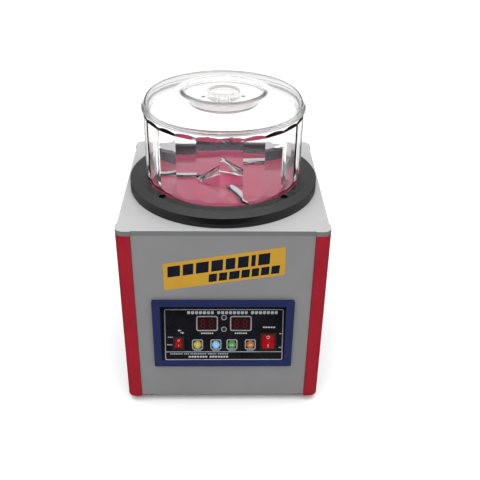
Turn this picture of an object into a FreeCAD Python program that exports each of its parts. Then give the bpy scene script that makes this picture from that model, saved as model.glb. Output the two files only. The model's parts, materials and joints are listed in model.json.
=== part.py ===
import FreeCAD, Part
import Sketcher
import math
import os
import re

# Bench-top magnetic tumbler: a sheet-metal case on rubber feet, a black seat ring on its
# cover, a clear bowl with a lid, and a motor that turns a disc of magnets under it.
# Millimetres.  X to the right, Y to the back, Z up, origin on the table under the case.

SIZES = {
    # case
    "case_width": 260, "case_depth": 269.2, "foot_height": 10, "case_top": 272.7,
    "cover_lip": 6.4, "sheet": 1.5, "cover_sheet": 2, "panel_inset": 1.5, "panel_low": 12.5,
    "panel_gap": 0.4, "corner_round": 10.9, "post_arm": 18.6, "post_wall": 3,
    "tongue_wall": 1.5, "tongue_reach": 26, "base_low": 10.3, "base_sheet": 2,
    "foot_radius": 12, "foot_side": 30, "foot_front": 24, "foot_screw": 2.1,
    "screw_radius": 1.7, "screw_head": 3.4, "screw_low": 34, "screw_high": 248,
    "screw_reach": 8, "screw_head_depth": 1.5,
    # axis of bowl, magnet disc and motor, seat ring and seat floor
    "axis_y": -3.4, "ring_outer": 123.2, "ring_inner": 100.3, "ring_side": 13, "ring_rise": 18,
    "ring_crease": 113, "screw_circle": 106.5, "ring_bore": 2.6, "ring_counterbore": 4.6,
    "cover_opening": 92, "seat_radius": 99.9, "seat_thickness": 3,
    # bowl, lid and knob
    "bowl_low": 276, "bowl_high": 381.1, "bowl_outer": 101.3, "bowl_round": 24,
    "bowl_base": 3.5, "bowl_inner": 96.6, "bowl_inner_round": 20, "bowl_flat": 94.6,
    "ledge_low": 372, "ledge_high": 378, "flats": 22, "flats_turn": 5.48,
    "cone_foot": 27, "cone_tip": 6, "cone_top": 309, "cone_wall": 3,
    "rib_radius": 3.5, "rib_start": 16, "rib_length": 76,
    "lid_outer": 103.5, "lid_low": 381.4, "lid_rim": 385.3, "lid_wall": 100.2, "lid_skin": 2.5,
    "lid_crown": 403.3, "shoulder_z": 392, "shoulder_r": 99.4, "shoulder_top_r": 91.5,
    "shoulder_top_z": 397.6, "recess_edge": 50.3, "recess_radius": 43.5, "recess_z": 388,
    "spigot_outer": 95.8, "spigot_low": 378.6, "spigot_wall": 2.4,
    "knob_radius": 21, "knob_low": 391.5, "knob_high": 401.5, "knob_neck": 14, "knob_ribs": 28,
    # front bezel and tilted control plate
    "bezel_width": 181, "bezel_low": 65.6, "bezel_high": 172.5, "bezel_proud": 4,
    "bezel_border": 9.7, "bezel_slope": 1.6, "bezel_wall": 2, "bezel_depth": 26,
    "panel_tilt": 15, "plate_y": -136.1, "plate_z": 75.1, "plate_thickness": 2,
    "plate_length": 90, "controls_x": 1.1, "window_x": 22.1, "window_s": 53, "window_width": 25.2,
    "window_height": 16.4, "led_low": 45, "led_high": 61.4, "led_radius": 2.5,
    "button_s": 23.2, "button_inner": 10.6, "button_outer": 34.8, "button_radius": 5,
    "button_proud": 2, "switch_side": 11, "board_depth": 12, "board_sheet": 1.6,
    "power_x": 58.2, "power_s": 27.5, "reverse_x": -59.7, "reverse_s": 25.4,
    "rocker_angle": 9, "rocker_pivot": 1.5,
    # drive
    "pillar_radius": 5, "bush_height": 4, "motor_plate_top": 235, "motor_plate_sheet": 4,
    "motor_radius": 38, "motor_length": 104, "motor_cap": 8, "shaft_radius": 4,
    "bearing_radius": 11, "bearing_width": 7, "running_gap": 0.03, "rotor_radius": 26,
    "rotor_length": 66, "disc_radius": 84, "disc_thickness": 5, "disc_low": 256,
    "magnet_radius": 12.5, "magnet_height": 8, "magnet_circle": 62, "magnets": 8,
    "hub_radius": 10, "hub_flange": 17,
    # back of the case
    "fan_x": 48, "fan_z": 150, "fan_side": 80, "fan_depth": 25, "fan_bore": 38,
    "inlet_x": -62, "inlet_z": 54, "fuse_x": -14, "guard_wire": 1.1,
}

doc = FreeCAD.newDocument("magnetic_tumbler")
sheet = doc.addObject("Spreadsheet::Sheet", "dims")
for row, (alias, number) in enumerate(SIZES.items(), start=1):
    sheet.set("A%d" % row, alias)
    sheet.set("B%d" % row, str(number))
    sheet.setAlias("B%d" % row, alias)
doc.recompute()

NODES = []


def link(text):
    """The same expression with every size named as a cell of the sheet."""
    def cell(match):
        word = match.group()
        return "dims." + word if word in SIZES else word
    return re.sub(r"[A-Za-z_]+", cell, str(text))


def value(text):
    """What an expression in the sheet's sizes comes to, in millimetres."""
    return float(sheet.evalExpression(link(text)))


def bind(thing, **sizes):
    """Tie properties to the sheet; x, y and z stand for the placement's base."""
    for name, text in sizes.items():
        path = "Placement.Base." + name if name in ("x", "y", "z") else name
        thing.setExpression(path, link(text))


def keep(thing, label):
    """Give a finished sub-part its label and put it on the list of files to write."""
    thing.Label = label
    NODES.append(thing)
    return thing


# ---------------------------------------------------------------- PartDesign helpers

def new_body(label):
    return keep(doc.addObject("PartDesign::Body", label), label)


def new_sketch(body, role, offset=None):
    """An empty sketch on one of the body's own origin planes, moved along its normal."""
    sketch = body.newObject("Sketcher::SketchObject", body.Label + "_sketch")
    plane = [item for item in body.Origin.OriginFeatures if item.Role == role][0]
    sketch.AttachmentSupport = [(plane, "")]
    sketch.MapMode = "FlatFace"
    if offset is not None:
        sketch.setExpression("AttachmentOffset.Base.z", link(offset))
    return sketch


def pin_point(sketch, geometry, end, x, y):
    """Fix a sketch point at (x, y), each an expression in the sheet's sizes."""
    for kind, text in (("DistanceX", x), ("DistanceY", y)):
        number = value(text)
        index = sketch.addConstraint(Sketcher.Constraint(kind, -1, 1, geometry, end, number))
        sketch.setExpression("Constraints[%d]" % index, link(text))


def arc_between(start, end, radius):
    """Arc from start to end; a positive radius turns left.  Returns the arc and its ends."""
    a = FreeCAD.Vector(start[0], start[1], 0)
    b = FreeCAD.Vector(end[0], end[1], 0)
    half = (b - a) * 0.5
    left = FreeCAD.Vector(-half.y, half.x, 0).normalize()
    rise = math.sqrt(max(radius * radius - half.Length ** 2, 0))
    centre = a + half + left * math.copysign(rise, radius)
    angle_a = math.atan2(a.y - centre.y, a.x - centre.x)
    angle_b = math.atan2(b.y - centre.y, b.x - centre.x)
    circle = Part.Circle(centre, FreeCAD.Vector(0, 0, 1), abs(radius))
    if radius > 0:
        return Part.ArcOfCircle(circle, angle_a, angle_b), (1, 2)
    return Part.ArcOfCircle(circle, angle_b, angle_a), (2, 1)


def add_outline(sketch, points):
    """Closed outline; a point is (x, y), or (x, y, radius) where an arc leads to the next
    one.  A half circle is (x, y, radius, x of its centre)."""
    spots = [(value(point[0]), value(point[1])) for point in points]
    pieces = []
    for number, point in enumerate(points):
        start = spots[number]
        end = spots[(number + 1) % len(spots)]
        if len(point) > 2:
            curve, ends = arc_between(start, end, value(point[2]))
        else:
            curve = Part.LineSegment(FreeCAD.Vector(*start, 0), FreeCAD.Vector(*end, 0))
            ends = (1, 2)
        pieces.append((sketch.addGeometry(curve, False), ends))
    for number, (geometry, ends) in enumerate(pieces):
        after, after_ends = pieces[(number + 1) % len(pieces)]
        sketch.addConstraint(
            Sketcher.Constraint("Coincident", geometry, ends[1], after, after_ends[0]))
    for (geometry, ends), point in zip(pieces, points):
        pin_point(sketch, geometry, ends[0], point[0], point[1])
        if len(point) == 3:
            radius = abs(value(point[2]))
            sketch.addConstraint(Sketcher.Constraint("Radius", geometry, radius))
        if len(point) == 4:
            middle = value(point[3])
            sketch.addConstraint(
                Sketcher.Constraint("DistanceX", -1, 1, geometry, 3, middle))


def add_rectangle(sketch, left, right, low, high):
    add_outline(sketch, [(left, low), (right, low), (right, high), (left, high)])


def add_circle(sketch, x, y, radius):
    centre = FreeCAD.Vector(value(x), value(y), 0)
    circle = Part.Circle(centre, FreeCAD.Vector(0, 0, 1), value(radius))
    geometry = sketch.addGeometry(circle, False)
    pin_point(sketch, geometry, 3, x, y)
    index = sketch.addConstraint(Sketcher.Constraint("Radius", geometry, value(radius)))
    sketch.setExpression("Constraints[%d]" % index, link(radius))


def add_slot(sketch, x, y, half_length, radius):
    """Slot with round ends, lying along the sketch's x."""
    left = "(%s) - (%s)" % (x, half_length)
    right = "(%s) + (%s)" % (x, half_length)
    low = "(%s) - (%s)" % (y, radius)
    high = "(%s) + (%s)" % (y, radius)
    add_outline(sketch, [(left, low), (right, low, radius, right), (right, high),
                         (left, high, radius, left)])


def add_pad(body, sketch, length, reverse=False, centred=False):
    pad = body.newObject("PartDesign::Pad", body.Label + "_pad")
    pad.Profile = sketch
    pad.Reversed = reverse
    if centred:
        pad.Midplane = True
    pad.setExpression("Length", link(length))
    return pad


def add_pocket(body, sketch, length, reverse=False, centred=False):
    """Cut the sketch out of the body, and stop if the cut removed nothing."""
    doc.recompute()
    before = body.Tip.Shape.Volume
    pocket = body.newObject("PartDesign::Pocket", body.Label + "_pocket")
    pocket.Profile = sketch
    pocket.Reversed = reverse
    if centred:
        pocket.Midplane = True
    pocket.setExpression("Length", link(length))
    doc.recompute()
    if pocket.Shape.Volume > before - 1e-3:
        raise RuntimeError("a pocket in %s cuts nothing" % body.Label)
    return pocket


def add_revolution(body, sketch):
    revolution = body.newObject("PartDesign::Revolution", body.Label + "_turned")
    revolution.Profile = sketch
    revolution.ReferenceAxis = (sketch, ["V_Axis"])
    revolution.Angle = 360
    return revolution


def add_fillet(body, radius, chosen):
    """Round the edges that the test picks."""
    doc.recompute()
    base = body.Tip
    names = ["Edge%d" % (i + 1) for i, edge in enumerate(base.Shape.Edges) if chosen(edge)]
    fillet = body.newObject("PartDesign::Fillet", body.Label + "_fillet")
    fillet.Base = (base, names)
    fillet.setExpression("Radius", link(radius))
    return fillet


def add_polar_pattern(body, feature, count):
    axis = [item for item in body.Origin.OriginFeatures if item.Role == "Z_Axis"][0]
    pattern = body.newObject("PartDesign::PolarPattern", body.Label + "_pattern")
    pattern.Originals = [feature]
    pattern.Axis = (axis, [""])
    pattern.Angle = 360
    pattern.setExpression("Occurrences", link(count))
    body.Tip = pattern
    return pattern


def is_upright(edge):
    """True for an edge parallel to Z."""
    box = edge.BoundBox
    return box.ZLength > 1 and box.XLength < 1e-6 and box.YLength < 1e-6


# ---------------------------------------------------------------- Part helpers

def box(size, corner):
    """Box from its size and lowest corner, both triples of expressions."""
    block = doc.addObject("Part::Box", "block")
    bind(block, Length=size[0], Width=size[1], Height=size[2],
         x=corner[0], y=corner[1], z=corner[2])
    return block


def cylinder(radius, height, foot, axis="Z"):
    """Cylinder standing at foot and growing along the positive axis."""
    rod = doc.addObject("Part::Cylinder", "rod")
    turn = {"X": ((0, 1, 0), 90), "Y": ((1, 0, 0), -90), "Z": ((0, 0, 1), 0)}[axis]
    rod.Placement.Rotation = FreeCAD.Rotation(FreeCAD.Vector(*turn[0]), turn[1])
    bind(rod, Radius=radius, Height=height, x=foot[0], y=foot[1], z=foot[2])
    return rod


def fuse(pieces):
    union = doc.addObject("Part::MultiFuse", "union")
    union.Shapes = pieces
    return union


def cut(base, tools):
    difference = doc.addObject("Part::Cut", "difference")
    difference.Base = base
    difference.Tool = tools[0] if len(tools) == 1 else fuse(tools)
    return difference


def group(pieces):
    """Identical separate solids kept together as one sub-part."""
    together = doc.addObject("Part::Compound", "together")
    together.Links = pieces
    return together


def around_axis(count, radius, first=0.0):
    """Points evenly spaced on a circle about the bowl's axis, as (x, y) expressions."""
    spots = []
    for number in range(count):
        angle = first + 360.0 * number / count
        spots.append(("%s * cos(%.6g deg)" % (radius, angle),
                      "axis_y + %s * sin(%.6g deg)" % (radius, angle)))
    return spots


def on_panel(thing, x="0", s="0"):
    """Lay a sub-part on the tilted control plate, x across it and s up it."""
    tilt = "(90 - panel_tilt)"
    thing.Placement.Rotation = FreeCAD.Rotation(FreeCAD.Vector(1, 0, 0), 75)
    thing.setExpression("Placement.Rotation.Angle", link(tilt))
    bind(thing, x="%s + controls_x" % x, y="plate_y + (%s) * cos(%s * 1 deg)" % (s, tilt),
         z="plate_z + (%s) * sin(%s * 1 deg)" % (s, tilt))
    return thing


# ---------------------------------------------------------------- case

def case_outline(inset):
    """Outline of the cover: straight sides set in between four corner ears."""
    half_x = "case_width / 2"
    half_y = "case_depth / 2"
    points = []
    for sign_x, sign_y, swap in ((-1, -1, False), (1, -1, True), (1, 1, False), (-1, 1, True)):
        ear = [("(%s - %s)" % (half_x, inset), "(%s - post_arm - %s)" % (half_y, inset)),
               ("(%s)" % half_x, "(%s - post_arm)" % half_y),
               ("(%s)" % half_x, "(%s)" % half_y),
               ("(%s - post_arm)" % half_x, "(%s)" % half_y),
               ("(%s - post_arm - %s)" % (half_x, inset), "(%s - %s)" % (half_y, inset))]
        if swap:
            ear.reverse()
        points += [("%d * %s" % (sign_x, x), "%d * %s" % (sign_y, y)) for x, y in ear]
    return points


def make_cover():
    body = new_body("cover_plate")
    sketch = new_sketch(body, "XY_Plane", "case_top - cover_lip")
    add_outline(sketch, case_outline("panel_inset"))
    add_pad(body, sketch, "cover_lip")
    add_fillet(body, "corner_round", lambda edge: is_upright(edge) and is_case_corner(edge))
    hollow = new_sketch(body, "XY_Plane", "case_top - cover_lip")
    reach_x = "case_width / 2 - panel_inset - cover_sheet"
    reach_y = "case_depth / 2 - panel_inset - cover_sheet"
    add_rectangle(hollow, "-(%s)" % reach_x, reach_x, "-(%s)" % reach_y, reach_y)
    add_pocket(body, hollow, "cover_lip - cover_sheet", reverse=True)
    opening = new_sketch(body, "XY_Plane", "case_top")
    add_circle(opening, "0", "axis_y", "cover_opening")
    for x, y in around_axis(4, "screw_circle", 45):
        add_circle(opening, x, y, "ring_bore")
    add_pocket(body, opening, "2 * cover_sheet")


def is_case_corner(edge):
    centre = edge.CenterOfMass
    return (abs(abs(centre.x) - value("case_width / 2")) < 1e-3
            and abs(abs(centre.y) - value("case_depth / 2")) < 1e-3)


def make_base():
    """Floor of the case: a tray inside the panels, notched round the corner posts."""
    half_x = "(case_width / 2 - panel_inset - sheet - 0.2)"
    half_y = "(case_depth / 2 - panel_inset - sheet - 0.2)"
    tray = box(("2 * " + half_x, "2 * " + half_y, "base_sheet"),
               ("-" + half_x, "-" + half_y, "base_low"))
    long_side = "(tongue_reach + 0.3)"
    short_side = "(post_wall + tongue_wall + 0.3)"
    tools = []
    for sign_x in (-1, 1):
        for sign_y in (-1, 1):
            for reach_x, reach_y in ((long_side, short_side), (short_side, long_side)):
                tools.append(box(("2 * " + reach_x, "2 * " + reach_y, "20"),
                                 ("%d * case_width / 2 - %s" % (sign_x, reach_x),
                                  "%d * case_depth / 2 - %s" % (sign_y, reach_y), "0")))
    for x, y in foot_spots():
        tools.append(cylinder("foot_screw", "20", (x, y, "0")))
    for number in range(9):
        slot_y = "%g" % (-40 + 10 * number)
        tools.append(box(("60", "4", "20"), ("-30", slot_y, "0")))
    keep(cut(tray, tools), "base_plate")


def foot_spots():
    return [("%d * (case_width / 2 - foot_side)" % sign_x,
             "%d * (case_depth / 2 - foot_front)" % sign_y)
            for sign_y in (-1, 1) for sign_x in (-1, 1)]


def make_feet():
    """Rubber feet with a recess for the screw that holds each to the base."""
    feet = []
    screws = []
    for x, y in foot_spots():
        foot = doc.addObject("Part::Cone", "foot")
        bind(foot, Radius1="foot_radius - 1.5", Radius2="foot_radius", Height="base_low",
             x=x, y=y)
        recess = cylinder("screw_head + 1", "4", (x, y, "0"))
        hole = cylinder("foot_screw", "20", (x, y, "0"))
        feet.append(cut(foot, [recess, hole]))
        shank = cylinder("foot_screw", "base_low + 3", (x, y, "2.5"))
        head = cylinder("screw_head", "2.2", (x, y, "1.8"))
        nut = cylinder("screw_head", "2.5", (x, y, "base_low + base_sheet"))
        screws.append(fuse([shank, head, nut]))
    keep(group(feet), "feet")
    keep(group(screws), "foot_screws")


def make_post(name, turn, sign_x, sign_y, bored_arms):
    """Corner extrusion: a rounded angle with a tongue behind each panel's edge."""
    body = new_body("corner_post_" + name)
    sketch = new_sketch(body, "XY_Plane")
    tongue = "post_wall + tongue_wall"
    add_outline(sketch, [
        ("0", "corner_round", "corner_round"), ("corner_round", "0"), ("post_arm", "0"),
        ("post_arm", "post_wall"), ("tongue_reach", "post_wall"), ("tongue_reach", tongue),
        (tongue, tongue), (tongue, "tongue_reach"), ("post_wall", "tongue_reach"),
        ("post_wall", "post_arm"), ("0", "post_arm")])
    add_pad(body, sketch, "case_top - cover_lip - foot_height")
    for role in bored_arms:
        bores = new_sketch(body, role)
        for height in ("screw_low", "screw_high"):
            along = "(post_arm + tongue_reach) / 2"
            add_circle(bores, along, height + " - foot_height", "screw_radius")
        add_pocket(body, bores, "40", centred=True)
    body.Placement.Rotation = FreeCAD.Rotation(FreeCAD.Vector(0, 0, 1), turn)
    bind(body, x="%d * case_width / 2" % sign_x, y="%d * case_depth / 2" % sign_y,
         z="foot_height")


def make_posts():
    make_post("front_left", 0, -1, -1, ("YZ_Plane",))
    make_post("front_right", 90, 1, -1, ("XZ_Plane",))
    make_post("rear_right", 180, 1, 1, ("XZ_Plane", "YZ_Plane"))
    make_post("rear_left", 270, -1, 1, ("XZ_Plane", "YZ_Plane"))


def panel_body(label, role, half_width, front_offset, reverse):
    """A flat case panel standing between two posts."""
    body = new_body(label)
    sketch = new_sketch(body, role, front_offset)
    add_rectangle(sketch, "-(%s)" % half_width, half_width,
                  "panel_low", "case_top - cover_lip - 0.1")
    add_pad(body, sketch, "sheet", reverse=reverse)
    return body


FRONT_HALF = "case_width / 2 - post_arm - panel_gap"
SIDE_HALF = "case_depth / 2 - post_arm - panel_gap"
PANEL_X = "case_width / 2 - panel_inset"
PANEL_Y = "case_depth / 2 - panel_inset"


def panel_screw_marks(half_depth):
    """Sideways positions of the panel screws, over the middle of the post tongues."""
    reach = "(%s - (post_arm + tongue_reach) / 2)" % half_depth
    return [(sign + reach, height) for sign in ("-", "") for height in ("screw_low", "screw_high")]


def make_front_panel():
    body = panel_body("front_panel", "XZ_Plane", FRONT_HALF, PANEL_Y, True)
    window = new_sketch(body, "XZ_Plane", PANEL_Y)
    border = "(bezel_border - bezel_wall - 0.2)"
    add_rectangle(window, "-(bezel_width / 2 - %s)" % border, "bezel_width / 2 - " + border,
                  "bezel_low + " + border, "bezel_high - " + border)
    add_pocket(body, window, "6", centred=True)


def make_side_panel(label, offset, reverse):
    body = panel_body(label, "YZ_Plane", SIDE_HALF, offset, reverse)
    cuts = new_sketch(body, "YZ_Plane", offset)
    for number in range(9):
        add_slot(cuts, "0", "%g" % (60 + 9 * number), "34", "2")
    for along, height in panel_screw_marks("case_depth / 2"):
        add_circle(cuts, along, height, "screw_radius")
    add_pocket(body, cuts, "6", centred=True)
    return body


def make_rear_panel():
    body = panel_body("rear_panel", "XZ_Plane", FRONT_HALF, "-(%s)" % PANEL_Y, False)
    cuts = new_sketch(body, "XZ_Plane", "-(%s)" % PANEL_Y)
    add_circle(cuts, "fan_x", "fan_z", "fan_bore")
    for sign_x in ("-", "+"):
        for sign_z in ("-", "+"):
            add_circle(cuts, "fan_x %s 35.75" % sign_x, "fan_z %s 35.75" % sign_z,
                       "screw_radius")
    add_rectangle(cuts, "inlet_x - 13.7", "inlet_x + 13.7", "inlet_z - 10.2", "inlet_z + 10.2")
    for sign in ("-", "+"):
        add_circle(cuts, "inlet_x %s 20" % sign, "inlet_z", "screw_radius")
    add_circle(cuts, "fuse_x", "inlet_z", "6.2")
    for number in range(6):
        add_slot(cuts, "-60", "%g" % (180 + 9 * number), "28", "2")
    for along, height in panel_screw_marks("case_width / 2"):
        add_circle(cuts, along, height, "screw_radius")
    add_pocket(body, cuts, "6", centred=True)
    return body


def sideways_screw(sign, along, height):
    """Screw along X, its head against the outside of a side panel."""
    face = "%d * (%s)" % (sign, PANEL_X)
    foot = face if sign < 0 else "%s - screw_reach" % face
    head = "%s - screw_head_depth" % face if sign < 0 else face
    return fuse([cylinder("screw_radius", "screw_reach", (foot, along, height), "X"),
                 cylinder("screw_head", "screw_head_depth", (head, along, height), "X")])


def rear_screw(x, z, face, reach="screw_reach"):
    """Screw along Y, its head against a face at the back of the case."""
    return fuse([cylinder("screw_radius", reach, (x, "%s - %s" % (face, reach), z), "Y"),
                 cylinder("screw_head", "screw_head_depth", (x, face, z), "Y")])


def make_case_screws():
    """Pan-head screws of the side and rear panels and of the mains inlet."""
    screws = []
    for sign in (-1, 1):
        for along, height in panel_screw_marks("case_depth / 2"):
            screws.append(sideways_screw(sign, along, height))
    for along, height in panel_screw_marks("case_width / 2"):
        screws.append(rear_screw(along, height, "(%s)" % PANEL_Y))
    for sign in ("-", "+"):
        screws.append(rear_screw("inlet_x %s 20" % sign, "inlet_z", "(%s + 2.5)" % PANEL_Y))
    keep(group(screws), "case_screws")


# ---------------------------------------------------------------- seat ring and floor

def make_ring():
    body = new_body("seat_ring")
    sketch = new_sketch(body, "XZ_Plane")
    add_outline(sketch, [
        ("ring_inner", "0"), ("ring_outer", "0"), ("ring_outer", "4.4"),
        ("ring_outer - 0.9", "5"), ("ring_outer", "5.6"), ("ring_outer", "ring_side"),
        ("ring_crease", "ring_rise"), ("ring_inner + 1", "ring_rise"),
        ("ring_inner", "ring_rise - 1")])
    add_revolution(body, sketch)
    for radius, depth in (("ring_bore", "30"), ("ring_counterbore", "8")):
        bores = new_sketch(body, "XY_Plane", "ring_rise")
        for number in range(4):
            angle = "%g deg" % (45 + 90 * number)
            add_circle(bores, "screw_circle * cos(%s)" % angle,
                       "screw_circle * sin(%s)" % angle, radius)
        add_pocket(body, bores, depth)
    bind(body, y="axis_y", z="case_top")


def make_ring_screws():
    """Socket screws down through ring and cover into the four pillars."""
    screws = []
    for x, y in around_axis(4, "screw_circle", 45):
        shank = cylinder("ring_bore - 0.1", "30", (x, y, "case_top + ring_rise - 8 - 30"))
        head = cylinder("ring_counterbore - 0.3", "5", (x, y, "case_top + ring_rise - 8"))
        socket = cylinder("2", "3", (x, y, "case_top + ring_rise - 8 + 2.5"))
        screws.append(cut(fuse([shank, head]), [socket]))
    keep(group(screws), "ring_screws")


def make_seat_floor():
    keep(cylinder("seat_radius", "seat_thickness", ("0", "axis_y", "case_top")), "seat_floor")


# ---------------------------------------------------------------- bowl, lid and knob

def round_bottomed(radius, rounding, low, high, foot, tip, top):
    """Solid turned about the bowl's axis over a rounded edge and a hollow cone."""
    blank = doc.addObject("PartDesign::Body", "blank")
    sketch = new_sketch(blank, "XZ_Plane")
    add_outline(sketch, [
        ("0", top), (tip, top), (foot, low), ("%s - %s" % (radius, rounding), low, rounding),
        (radius, "%s + %s" % (low, rounding)), (radius, high), ("0", high)])
    add_revolution(blank, sketch)
    bind(blank, y="axis_y")
    return blank


def flat_sided(levels):
    """Solid with a flat for each side, from (distance to a flat, height) pairs."""
    sections = []
    for distance, z in levels:
        polygon = doc.addObject("Part::RegularPolygon", "polygon")
        polygon.Placement.Rotation = FreeCAD.Rotation(FreeCAD.Vector(0, 0, 1), 1)
        bind(polygon, Polygon="flats", Circumradius="(%s) / cos(180 deg / flats)" % distance,
             y="axis_y", z=z)
        polygon.setExpression("Placement.Rotation.Angle", link("flats_turn"))
        sections.append(polygon)
    loft = doc.addObject("Part::Loft", "loft")
    loft.Sections = sections
    loft.Solid = True
    loft.Ruled = True
    return loft


def floor_rib(angle):
    """Half-round ridge along the bowl's floor, from inside the cone out to the wall."""
    heading = FreeCAD.Rotation(FreeCAD.Vector(0, 0, 1), angle)
    lying = FreeCAD.Rotation(FreeCAD.Vector(0, 1, 0), 90)
    rib = doc.addObject("Part::Cylinder", "rib")
    rib.Placement.Rotation = heading.multiply(lying)
    bind(rib, Radius="rib_radius", Height="rib_length", x="rib_start * cos(%g deg)" % angle,
         y="axis_y + rib_start * sin(%g deg)" % angle, z="bowl_low + bowl_base + 0.3")
    return rib


def make_bowl():
    """Round bowl; flats line its inner wall, and a cone and three ribs rise from its floor."""
    outside = round_bottomed("bowl_outer", "bowl_round", "bowl_low", "bowl_high",
                             "cone_foot - cone_wall", "cone_tip - 1", "cone_top - cone_wall")
    inside = round_bottomed("bowl_inner", "bowl_inner_round", "bowl_low + bowl_base",
                            "bowl_high + 1", "cone_foot", "cone_tip", "cone_top")
    flats = flat_sided([("bowl_flat", "bowl_low"), ("bowl_flat", "ledge_low"),
                        ("bowl_inner + 0.2", "ledge_high")])
    rim = cylinder("bowl_outer", "10", ("0", "axis_y", "ledge_high"))
    hollow = doc.addObject("Part::MultiCommon", "hollow")
    hollow.Shapes = [inside, fuse([flats, rim])]
    ribs = [floor_rib(51), floor_rib(171), floor_rib(291)]
    keep(cut(outside, [cut(hollow, ribs)]), "bowl")


def make_lid():
    """Domed lid with a rim, a spigot inside the bowl and a round recess on top."""
    body = new_body("lid")
    sketch = new_sketch(body, "XZ_Plane")
    add_outline(sketch, [
        ("0", "recess_z"), ("recess_radius", "recess_z"), ("recess_edge", "lid_crown"),
        ("shoulder_top_r", "shoulder_top_z", "-8.6"), ("shoulder_r", "shoulder_z"),
        ("lid_wall", "lid_rim"), ("lid_outer - 1", "lid_rim"), ("lid_outer", "lid_rim - 1"),
        ("lid_outer", "lid_low"), ("spigot_outer", "lid_low"), ("spigot_outer", "spigot_low"),
        ("spigot_outer - spigot_wall", "spigot_low"), ("spigot_outer - spigot_wall", "lid_rim"),
        ("shoulder_r - lid_skin", "shoulder_z - 1", "6.1"),
        ("shoulder_top_r - 1", "shoulder_top_z - lid_skin"),
        ("recess_edge + 2", "lid_crown - lid_skin"),
        ("recess_radius + 2.4", "recess_z - lid_skin"), ("0", "recess_z - lid_skin")])
    add_revolution(body, sketch)
    bind(body, y="axis_y")


def make_knob():
    """Ribbed grip standing on a short neck in the lid's recess."""
    body = new_body("lid_knob")
    sketch = new_sketch(body, "XZ_Plane")
    add_outline(sketch, [
        ("0", "recess_z"), ("knob_neck", "recess_z"), ("knob_neck", "knob_low"),
        ("knob_radius", "knob_low"), ("knob_radius", "knob_high - 1"),
        ("knob_radius - 1", "knob_high"), ("knob_radius - 4", "knob_high"),
        ("knob_radius - 5", "knob_high - 1"), ("0", "knob_high - 1")])
    add_revolution(body, sketch)
    rib = new_sketch(body, "XY_Plane", "knob_high + 1")
    add_circle(rib, "knob_radius + 0.5", "0", "1.5")
    pocket = add_pocket(body, rib, "20")
    add_polar_pattern(body, pocket, "knob_ribs")
    bind(body, y="axis_y")


# ---------------------------------------------------------------- bezel and control plate

def make_bezel():
    """Front frame: a flange that slopes in to its opening, and a sleeve behind it."""
    front_y = "-(%s) - bezel_proud" % PANEL_Y
    flange = box(("bezel_width", "bezel_proud", "bezel_high - bezel_low"),
                 ("-bezel_width / 2", front_y, "bezel_low"))
    inset = "(bezel_border - bezel_wall)"
    sleeve = box(("bezel_width - 2 * " + inset, "bezel_depth",
                  "bezel_high - bezel_low - 2 * " + inset),
                 ("-bezel_width / 2 + " + inset, "-(%s)" % PANEL_Y, "bezel_low + " + inset))
    opening = box(("bezel_width - 2 * bezel_border", "2 * bezel_depth",
                   "bezel_high - bezel_low - 2 * bezel_border"),
                  ("-bezel_width / 2 + bezel_border", front_y + " - 1",
                   "bezel_low + bezel_border"))
    slope = doc.addObject("Part::Wedge", "slope")
    bind(slope, Xmin="-bezel_width / 2 + 1", Xmax="bezel_width / 2 - 1", Ymin=front_y,
         Ymax=front_y + " + bezel_slope", Zmin="bezel_low + 1", Zmax="bezel_high - 1",
         X2min="-bezel_width / 2 + bezel_border", X2max="bezel_width / 2 - bezel_border",
         Z2min="bezel_low + bezel_border", Z2max="bezel_high - bezel_border")
    frame = cut(fuse([flange, sleeve]), [opening, slope])
    doc.recompute()
    corners = []
    for number, edge in enumerate(frame.Shape.Edges):
        centre = edge.CenterOfMass
        outside = abs(abs(centre.x) - value("bezel_width / 2")) < 1e-3
        if outside and edge.BoundBox.YLength > 3.9 and edge.BoundBox.ZLength < 1e-3:
            corners.append((number + 1, 2.0, 2.0))
    rounded = doc.addObject("Part::Fillet", "rounded")
    rounded.Base = frame
    rounded.Edges = corners
    keep(rounded, "bezel")


def button_marks():
    return ["-button_outer", "-button_inner", "button_inner", "button_outer"]


def make_control_plate():
    """Black plate at the back of the bezel, cut for windows, buttons, lamps and rockers."""
    body = new_body("control_plate")
    sketch = new_sketch(body, "XY_Plane")
    half = "(bezel_width / 2 - bezel_border - 0.2)"
    add_rectangle(sketch, "-%s - controls_x" % half, half + " - controls_x", "0.8",
                  "plate_length")
    add_pad(body, sketch, "plate_thickness", reverse=True)
    cuts = new_sketch(body, "XY_Plane")
    for x in ("-window_x", "window_x"):
        add_rectangle(cuts, x + " - window_width / 2 - 0.1", x + " + window_width / 2 + 0.1",
                      "window_s - window_height / 2 - 0.1",
                      "window_s + window_height / 2 + 0.1")
    for s in ("led_low", "led_high"):
        add_circle(cuts, "0", s, "led_radius + 0.2")
    for x in button_marks():
        add_rectangle(cuts, x + " - switch_side / 2 - 0.2", x + " + switch_side / 2 + 0.2",
                      "button_s - switch_side / 2 - 0.2", "button_s + switch_side / 2 + 0.2")
    for x, s, width, height in (("power_x", "power_s", "10", "11.7"),
                                ("reverse_x", "reverse_s", "6.6", "8.7")):
        add_rectangle(cuts, "%s - %s" % (x, width), "%s + %s" % (x, width),
                      "%s - %s" % (s, height), "%s + %s" % (s, height))
    add_pocket(body, cuts, "20", centred=True)
    on_panel(body)


def make_displays():
    """Two smoked windows in the plate, each over a two-digit display on the board."""
    windows = []
    modules = []
    for x in ("-window_x", "window_x"):
        windows.append(box(("window_width", "window_height", "1.7"),
                           (x + " - window_width / 2", "window_s - window_height / 2", "-1.8")))
        modules.append(box(("window_width - 1", "19", "board_depth - 2.1"),
                           (x + " - window_width / 2 + 0.5", "window_s - 9.5", "-board_depth")))
    keep(on_panel(group(windows)), "display_windows")
    keep(on_panel(group(modules)), "display_modules")


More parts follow.
